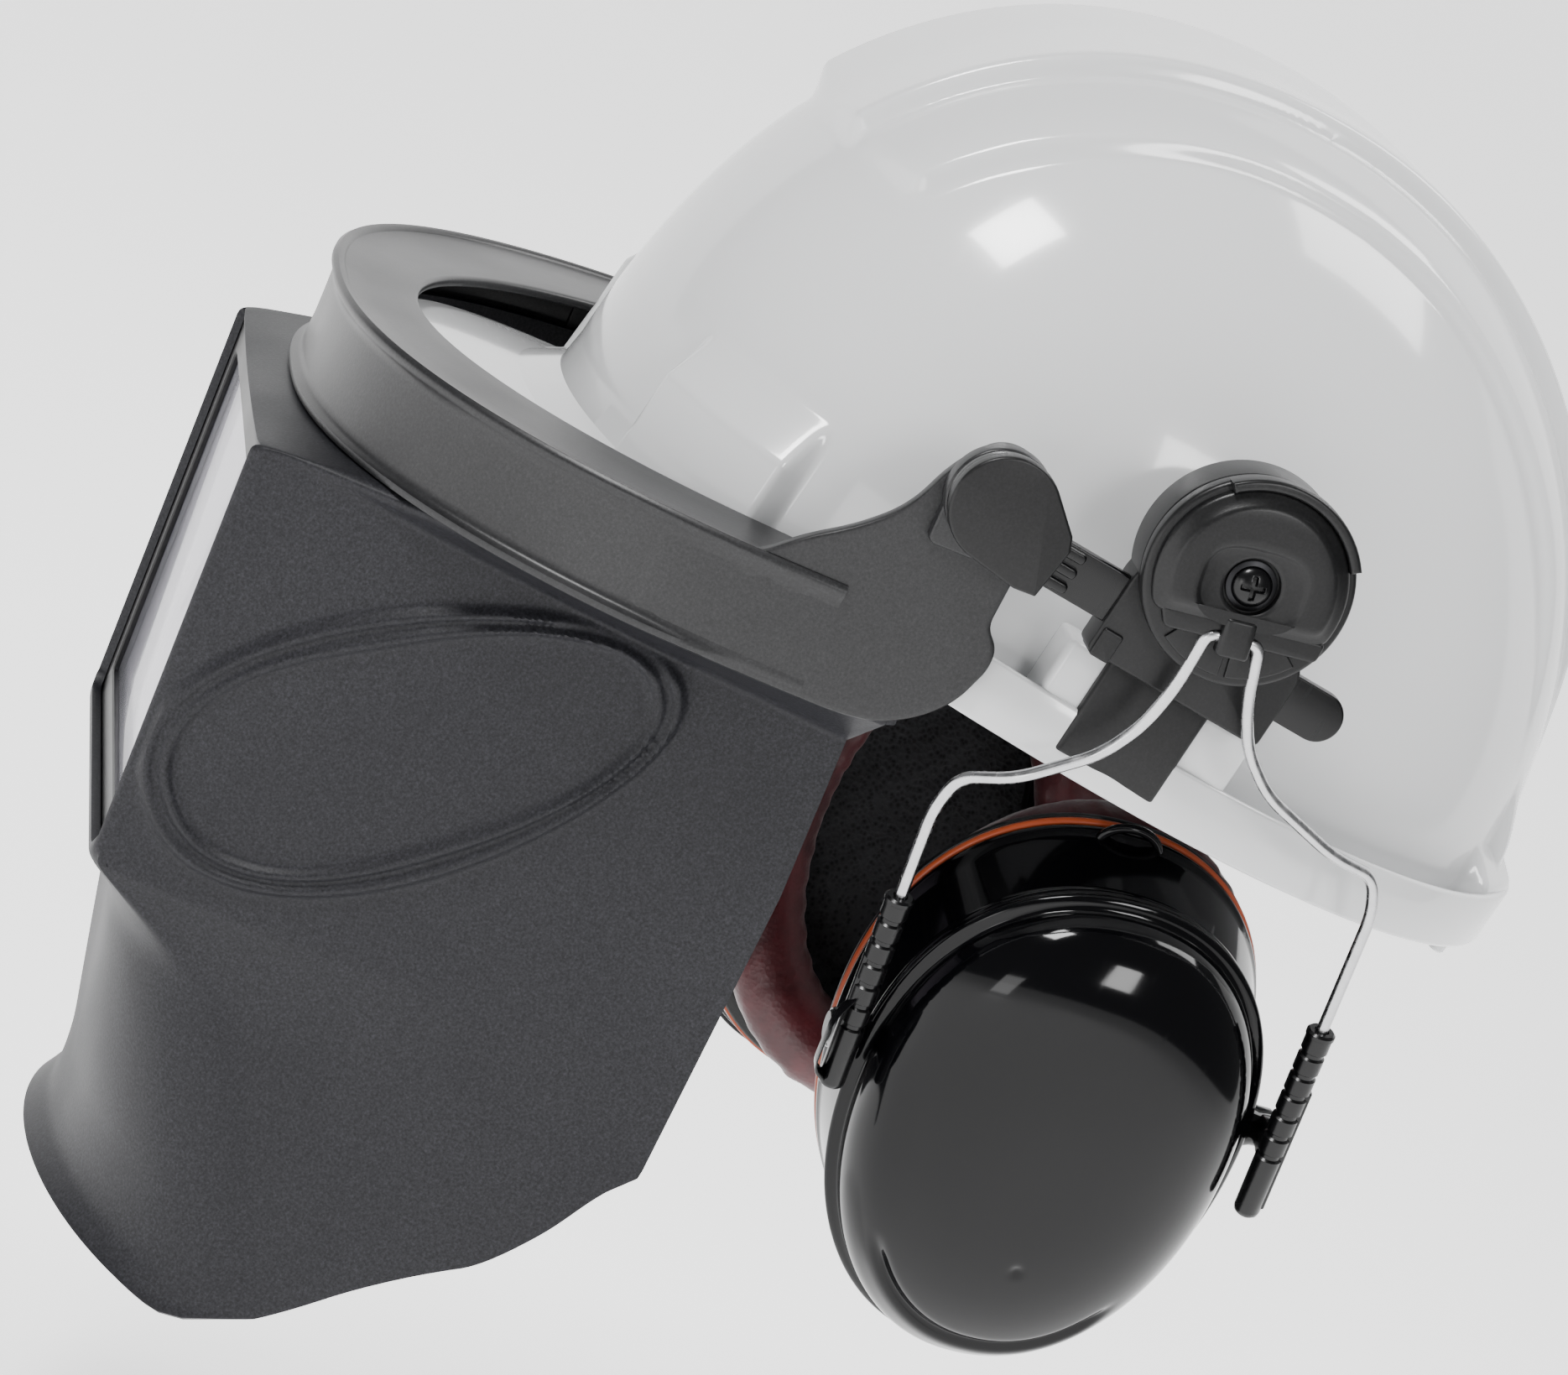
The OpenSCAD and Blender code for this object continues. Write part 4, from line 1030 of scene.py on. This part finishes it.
def cover_shape():
    """Glossy dome with a lip round its foot, a smile-shaped groove and a moulding dimple."""
    rings = [egg_ring(g, x) for g, x in (
        (0.4, -1.0), (1.3, -0.9), (1.9, -0.5), (2.1, 0.1), (2.0, 0.8), (1.5, 1.3), (0.6, 1.6), (-0.4, 1.9),
        (-0.9, 2.4), (-0.9, 3.4))]
    for k in 1 - np.linspace(0, 1, 84)[1:-1] ** 1.5:
        rings.append(egg_ring(-0.9, 3.4 + 20.9 * (1 - k ** 3.0) ** 0.52, k))
    g = np.array(rings)
    y, z = g[..., 1], g[..., 2]
    # The groove follows the outline low on the dome
    half_l = CUP_L / 2
    w = CUP_W / 2 * (1 + CUP_TAPER * z / half_l)
    level = ((np.abs(y) / w) ** 2.15 + (np.abs(z) / half_l) ** 2.15) ** (1 / 2.15)
    where = np.degrees(np.arctan2(z, y))
    along = step(-140, -126, where) * (1 - step(-62, -46, where))
    off = (level - 0.80) * 52
    g[..., 0] -= along * (1.7 * bell(off, 1.3) - 0.5 * bell(off - 3.2, 1.8))
    g[..., 0] -= 0.8 * bell(np.hypot(y - 1.3, z + 23.2), 1.3)
    tip = np.array([[24.3, 0, 0]])
    n = g.shape[1]
    faces = grid_faces(g.shape[0], n, close_cols=True)
    last = g.shape[0] * n
    faces += [((g.shape[0] - 1) * n + i, (g.shape[0] - 1) * n + (i + 1) % n, last) for i in range(n)]
    return np.vstack([g.reshape(-1, 3), tip]), faces


def body_shape():
    """Cup wall with its stepped rims, open towards the ear, and two pivot bosses."""
    profile = ((1.6, -26.0), (2.5, -25.8), (2.9, -25.2), (3.0, -24.0), (2.8, -23.2), (2.4, -22.6),
               (2.1, -20.0), (1.5, -14.0), (0.9, -9.0), (0.5, -5.4), (0.4, -4.6), (0.8, -4.0), (1.3, -3.4),
               (1.4, -2.4), (1.2, -1.6), (0.8, -1.0), (0.2, -0.8), (-1.2, -0.8), (-1.5, -1.6),
               (-1.5, -13.0), (-1.5, -25.2), (-1.2, -26.0))
    parts = [egg_loft(profile)]
    for end in (1, -1):
        boss = lathe([(0.2, 0), (5.4, 0), (5.2, 1.6), (4.7, 3.0), (4.6, 6.2), (4.2, 6.8), (2.7, 6.9),
                      (2.6, 6.2), (2.6, 2.5), (0.2, 2.4)], 64)
        parts.append(carried(move(TILT_X, end * 45.4, TILT_UP) @ turned(-90 * end, "X"), boss))
    # Small loop at the top for the retaining clip
    t = np.linspace(-0.2, math.pi + 0.2, 30)
    arc = np.stack([np.full(30, -22.0), 7.0 * np.cos(t) + 1, 63.5 + 5.5 * np.sin(t)], 1)
    parts.append(tube(arc, 1.1, 12))
    return joined(*parts)


def wire_path(side):
    half = [(0, 0, 0), (0, 5.8, 0.0), (0, 8.0, -14), (0, 11.8, -25), (0, 19, -34.5), (-1.2, 36, -45.5),
            (-STEP_IN + 0.8, 47.5, -51.5), (-STEP_IN, TUBE_HALF, -61),
            (-STEP_IN, TUBE_HALF, BAR_DROP - TUBE_TOP[side] - WIRE_GRIP)]
    share = [0, 0, 0, 0.05, 0.2, 0.65, 0.95, 1, 1]
    return [(x, side * y + SHIFT * k, z) for (x, y, z), k in zip(half, share)]


def wire_shape():
    front, rear = wire_path(-1), wire_path(1)
    path = bent_path(front[::-1] + rear[1:], 5.0, 9)
    return tube(path, WIRE_R, 20)


def slider_shape(side):
    """Tube with notch rings that grips the wire, with a spine, an arm to the cup's pivot and a clip."""
    profile = [(0.3, 0.0), (2.1, 0.15), (2.8, 0.8), (3.05, 1.8)]
    top = TUBE_LEN
    for k in range(6):
        at = top - 34 + k * 5.6
        profile += [(TUBE_R, at - 0.9), (TUBE_R - 0.55, at - 0.45), (TUBE_R - 0.55, at + 0.45),
                    (TUBE_R, at + 0.9)]
    profile += [(TUBE_R, top - 1.6), (TUBE_R + 0.25, top - 1.4), (TUBE_R + 0.25, top - 0.5),
                (TUBE_R - 0.3, top), (1.7, top), (1.6, top - 1.5), (0.2, top - 1.6)]
    parts = [lathe(profile, 72)]
    ax, az = CUP_OUT + TILT_X, TUBE_LEN + TUBE_TOP[side] - CUP_DROP + TILT_UP
    # Spine along the back of the tube
    parts.append(rounded_box((-1.2, side * 2.2 - 1.0, 2.5), (1.2, side * 2.2 + 1.4, top - 16), 0.5))
    # Arm in towards the cup, with a bend
    arm = bent_path([(0, 0, az), (ax * 0.55, 0, az + 2.0), (ax, 0, az)], 3.0, 6)
    section = np.array(rounded_outline(box_corners(-1.8, -3.8, 1.8, 3.8), 1.0, 3))
    parts.append(loft([p + section @ ((0, 1, 0), (0, 0, 1)) for p in arm[::-1]]))
    stub = lathe([(0.2, -0.4), (3.4, -0.4), (3.9, 0.1), (4.0, 0.6), (4.0, 3.2), (3.6, 3.6), (2.5, 3.7),
                  (2.5, 8.6), (2.1, 9.2), (0.2, 9.3)], 48)
    parts.append(carried(move(ax, side * -1.8 + side * 3.6, az) @ turned(90 * side, "X"), stub))
    # Flat clip that stands off the outer side of the front tube
    if side < 0:
        clip = bent_path([(1.5, -2.2, 24), (3.2, -5.4, 19), (3.2, -5.8, 6), (1.2, -2.4, 2.4)], 3, 6)
        flat = np.array(rounded_outline(box_corners(-2.0, -0.5, 2.0, 0.5), 0.3, 2))
        parts.append(loft([p + flat @ ((1, 0, 0), (0, 0.3, 1)) for p in clip]))
    return joined(*parts)


def cushion_shape():
    """Ear cushion as a closed ring, its section full on the face side and pulled in at the seam."""
    n_a, n_b = 220, 40
    a = np.linspace(0, 2 * math.pi, n_a, endpoint=False)
    b = np.linspace(0, 2 * math.pi, n_b, endpoint=False)
    A, B = np.meshgrid(a, b, indexing="ij")
    r = 11.0 * np.cos(B)
    w, l = CUP_W / 2 - PAD_INSET + r, CUP_L / 2 - PAD_INSET + r
    rear = 3.0 * np.maximum(np.cos(A), 0) ** 2
    points = np.stack([-41.6 + 8.8 * np.sin(B), PAD_OFF + rear + w * np.cos(A), l * np.sin(A) - PAD_OFF], -1)
    return points.reshape(-1, 3), grid_faces(n_a, n_b, close_rows=True, close_cols=True)


def evaluated(obj):
    return obj.evaluated_get(bpy.context.evaluated_depsgraph_get())


def coordinates(mesh):
    raw = np.empty(len(mesh.vertices) * 3)
    mesh.vertices.foreach_get("co", raw)
    return raw.reshape(-1, 3)


def stuffed(obj, cap, frames=20):
    """Fills a closed form as foam fills a cover: cloth under pressure, its movement capped in mm."""
    scene = bpy.context.scene
    remesh = obj.modifiers.new("remesh", "REMESH")
    remesh.mode = "VOXEL"
    remesh.voxel_size = 2.6 * MM
    remeshed = bpy.data.meshes.new_from_object(evaluated(obj))
    obj.modifiers.clear()
    material = obj.data.materials[0]
    obj.data = remeshed
    if not remeshed.materials:
        remeshed.materials.append(material)
    rest = coordinates(remeshed)
    cloth = obj.modifiers.new("cloth", "CLOTH")
    cloth.settings.use_pressure = True
    cloth.settings.uniform_pressure_force = 4.0
    cloth.settings.effector_weights.gravity = 0
    cloth.settings.tension_stiffness = 8
    cloth.settings.compression_stiffness = 8
    cloth.settings.bending_stiffness = 0.3
    cloth.settings.quality = 4
    cloth.point_cache.frame_start = 1
    cloth.point_cache.frame_end = frames
    for frame_number in range(1, frames + 1):
        scene.frame_set(frame_number)
    shift = coordinates(evaluated(obj).to_mesh()) - rest
    evaluated(obj).to_mesh_clear()
    obj.modifiers.clear()
    scene.frame_set(1)
    length = np.linalg.norm(shift, axis=1)
    shift *= (np.minimum(length, cap * MM) / np.maximum(length, 1e-9))[:, None]
    obj.data.vertices.foreach_set("co", (rest + shift).ravel())
    obj.data.update()
    obj.data.shade_smooth()


def puckered(obj, matrix, side):
    """Seam line and the small radial folds that run from it, in the cup's own frame."""
    inverse = np.array(matrix.inverted())
    world = coordinates(obj.data) / MM
    if side < 0:
        world[:, 0] *= -1
    p = through(inverse, world)
    y, z = p[:, 1] - PAD_OFF, p[:, 2] + PAD_OFF
    w, l = CUP_W / 2 - PAD_INSET, CUP_L / 2 - PAD_INSET
    radial = np.hypot(y / w, z / l)
    angle = np.arctan2(z / l, y / w)
    outward = unit(np.stack([np.zeros(len(p)), y / w / w, z / l / l], 1))
    offset = (radial - 1) * 46
    seam = bell(p[:, 0] + 36.4, 1.0) * np.where(offset > 0, 1, 0)
    fold = (0.6 + 0.4 * np.sin(angle * 7 + 1)) * np.sin(angle * 46 + 2.2 * np.sin(angle * 5))
    reach = bell(p[:, 0] + 39.0, 4.6) * np.where(offset > 2, 1, 0)
    p = p - outward * (1.1 * seam + 0.75 * reach * fold + 0.5 * reach)[:, None]
    inner_fold = bell(p[:, 0] + 45.0, 4.0) * np.where(offset < -4, 1, 0)
    p = p + outward * (0.6 * inner_fold * np.sin(angle * 38 + 1.4 * np.sin(angle * 4)))[:, None]
    world = through(np.array(matrix), p)
    if side < 0:
        world[:, 0] *= -1
    obj.data.vertices.foreach_set("co", (world * MM).ravel())
    obj.data.update()


def foam_shape():
    """Egg-shaped foam pad with soft, slightly uneven faces."""
    level = np.linspace(0, 1, 26)[:, None]
    face = np.array([egg_ring(-4.2, -23.6, max(f, 0.02)) for f in level[:, 0]])
    y, z = face[..., 1], face[..., 2]
    dent = 0.7 * np.sin(y * 0.31 + 1.1) * np.sin(z * 0.27 + 0.4)
    dent += 0.4 * np.sin(y * 0.83) * np.cos(z * 0.71)
    face[..., 0] += dent * (1 - level ** 6) + 3.2 * level ** 8
    sides = [egg_ring(-3.7, -19.4), egg_ring(-3.6, -14.0), egg_ring(-3.8, -9.4), egg_ring(-5.0, -8.2)]
    return loft(list(face) + sides)


for name, side, turn, lift in SIDES:
    yoke = in_yoke(turn)
    put_piece("wire_" + name, side, yoke, wire_shape(), STEEL, "yoke_" + name, ["wire_yoke_" + name])
    for word, end in (("front", -1), ("rear", 1)):
        at = yoke @ move(-STEP_IN, end * TUBE_HALF + SHIFT, BAR_DROP - TUBE_TOP[end] - TUBE_LEN + lift)
        put_piece(word + "_slider_" + name + "_moulding", side, at, slider_shape(end), SMOOTH_BLACK,
                  "slider_" + name, [word + "_slider_" + name])
    cup = in_cup(turn, lift)
    ring = egg_loft(((-5, -26.1), (2.6, -26.1), (3.1, -26.5), (3.3, -27.1), (3.1, -27.7), (2.6, -28.1),
                     (-5, -28.1)))
    plate = egg_loft(((-15, -28.4), (2.2, -28.3), (2.8, -28.7), (2.9, -29.6), (2.4, -30.4), (1.4, -31.2),
                      (0.8, -32.4), (0.2, -32.6), (-14.6, -32.6), (-15, -32.0)))
    made = {}
    for word, shape, material, node, sharp in (
            ("cup_dome_", cover_shape(), PIANO_BLACK, "cup_cover_", 50),
            ("cup_wall_", body_shape(), PIANO_BLACK, "cup_body_", 50),
            ("orange_ring_", ring, ORANGE, "seal_ring_", 50),
            ("cushion_base_", plate, BLACK, "cushion_plate_", 50),
            ("cushion_", cushion_shape(), RED, "ear_cushion_", 60),
            ("foam_", foam_shape(), FOAM, "cup_foam_", 60)):
        made[word] = put_piece(word + name, side, cup, shape, material, "cup_" + name, [node + name], sharp)
    pad = made["cushion_"]
    stuffed(pad, 5.0)
    puckered(pad, cup, side)
    round_off = pad.modifiers.new("finer", "SUBSURF")
    round_off.levels = round_off.render_levels = 1

# ---------- Window ----------

GLASS_W, GLASS_H = 110, 90
IN_WINDOW = move(0, BOX_FRONT + RAKE * 50.5, BOX_TOP - 50.5) @ turned(math.degrees(math.atan(RAKE)), "X")
# Plates drawn in (x, z) with their depth along y, inwards
WINDOW_FACE = Matrix(((1, 0, 0, 0), (0, 0, 1, 0), (0, 1, 0, 0), (0, 0, 0, 1)))


def box_outline(w, h, r):
    return rounded_outline(box_corners(-w / 2, -h / 2, w / 2, h / 2), r, 5)


def window_frame():
    """Frame behind the opening, stepped for the glasses, with a rolled front lip."""
    sizes = [(117.4, 101, 3.0, 2), (117.4, 101, 6.0, 2), (114, 97, 10.8, 2), (113, 96, 11.5, 2),
             (111.6, 91.6, 11.5, 1), (110.9, 90.9, 11.0, 1), (110.8, 90.8, 4.1, 1), (104.4, 84.4, 4.1, 2),
             (104.0, 84.0, 3.7, 2), (104.0, 84.0, 3.0, 2), (104.8, 84.8, 2.6, 2), (117, 100.6, 2.6, 2)]
    return loft([flat_ring(box_outline(w, h, r), d) for w, h, d, r in sizes], loop=True)


def glass(low, high, radius):
    return rounded_plate(evened(np.array(box_outline(GLASS_W, GLASS_H, 1.5)), 200), low, high, radius)


loop_line = bent_path([(0, 40), (50, 40), (50, -40), (-50, -40), (-50, 40), (0, 40)], 4)
spring = tube([(x, y, 10.0 + 0.5 * math.sin(x * 0.12)) for x, y in loop_line], 0.8, 12)
for name, shape, material, node in (
        ("glass_holder", window_frame(), BLACK, "glass_frame"),
        ("cover_plate", glass(4.2, 5.6, 0.3), COVER_GLASS, "cover_glass"),
        ("filter_plate", glass(5.8, 8.8, 0.4), FILTER_GLASS, "filter_glass"),
        ("spring_wire", spring, STEEL, "glass_spring")):
    points, faces = carried(IN_WINDOW @ WINDOW_FACE, shape)
    piece(name, (points, [tuple(reversed(f)) for f in faces]), material, "visor", [node], 40)

# ---------- Harness ----------

BAND_HALF, BAND_LEN, BAND_Y = 76.0, 97.0, 2.0


def band_path(inset, start, end):
    """Plan path of the headband's oval between two angles in degrees, with its outward normals."""
    a = np.radians(np.linspace(start, end, 220))
    xy = resampled(oval(a, BAND_HALF - inset, BAND_LEN - inset, BAND_LEN - inset, BAND_Y, 2.1, 2.1), 220)
    return flat_ring(xy, 0.0), across(xy)


def arch_shape(half_span, drop):
    """Moulded strap arched over the head: a thin strip with raised edges and a row of slots pressed in."""
    t = np.radians(np.linspace(0, 180, 121))
    section = [(-9.5, 0.0), (-9.3, 0.5), (-8.6, 0.9), (-7.6, 0.9), (-7.0, 0.45), (-3.0, 0.35), (0, 0.3),
               (3.0, 0.35), (7.0, 0.45), (7.6, 0.9), (8.6, 0.9), (9.3, 0.5), (9.5, 0.0), (9.3, -0.6),
               (8.4, -0.8), (0, -0.8), (-8.4, -0.8), (-9.3, -0.6)]
    rings = []
    for a in t:
        taper = 1 - 0.22 * math.sin(a) ** 4
        slot_dip = 0.35 if int(math.degrees(a) / 6) % 2 else 0.0
        ring = []
        for across_y, lift_out in section:
            thick = lift_out - (slot_dip if abs(across_y) < 4 and lift_out > 0.2 else 0)
            r = half_span - 0.8 + thick
            h = 81.5 - 0.8 + thick - drop
            ring.append((r * math.cos(a), across_y * taper, 24.5 + h * math.sin(a)))
        rings.append(np.array(ring))
    return loft(rings)


straps = []
for side in (1, -1):
    straps.append(carried(move(-4 * side, 9, 0) @ turned(60 * side, "Z"), arch_shape(102, 0.8 + 0.8 * side)))
straps.append(carried(move(0, 16, 0), arch_shape(86, 2.6)))
crown = lathe([(0.2, 103.4), (16, 103.2), (17, 103.6), (17.4, 104.6), (16.4, 105.6), (10, 106.1),
               (0.2, 106.2)], 64)
straps.append(carried(move(0, 13, 0), crown))
piece("cradle_straps", joined(*straps), WHITE_MATT, "helmet", ["cradle"], 40)

path, out = band_path(0.9, -214, 34)
section = [(-0.9, -0.8), (-0.5, -1.0), (0.5, -1.0), (0.9, -0.7), (0.9, 1.2), (0.35, 1.8), (0.35, 20.2),
           (0.9, 20.8), (0.9, 22.6), (0.5, 23.0), (-0.5, 23.0), (-0.9, 22.7)]
piece("headband_strip", swept(path, out, section), BLACK, "helmet", ["headband"], 35)
path, out = band_path(4.2, -161, -19)
quilt = []
for p, n, k in zip(path, out, range(len(path))):
    swell = 1.9 + 0.5 * abs(math.sin(k * 0.16))
    quilt.append(np.array([(p[0] + n[0] * a, p[1] + n[1] * a, b) for a, b in rounded_outline(
        [(-swell, 0.6), (1.9, 0.6), (1.9, 21.6), (-swell, 21.6)], 1.7, 4)]))
sweat = piece("sweat_pad", loft(quilt), TERRY, "helmet", ["sweatband"], 60)
path, out = band_path(3.5, 23.5, 156.5)
section = [(-0.8, 0.3), (-0.4, 0.1), (0.5, 0.1), (0.8, 0.5), (0.8, 4.2), (0.4, 4.8), (0.4, 9.2), (0.8, 9.8),
           (0.8, 13.4), (0.4, 13.9), (-0.4, 13.9), (-0.8, 13.5)]
piece("nape_band", swept(path, out, section), BLACK, "nape", ["nape_strap"], 35)
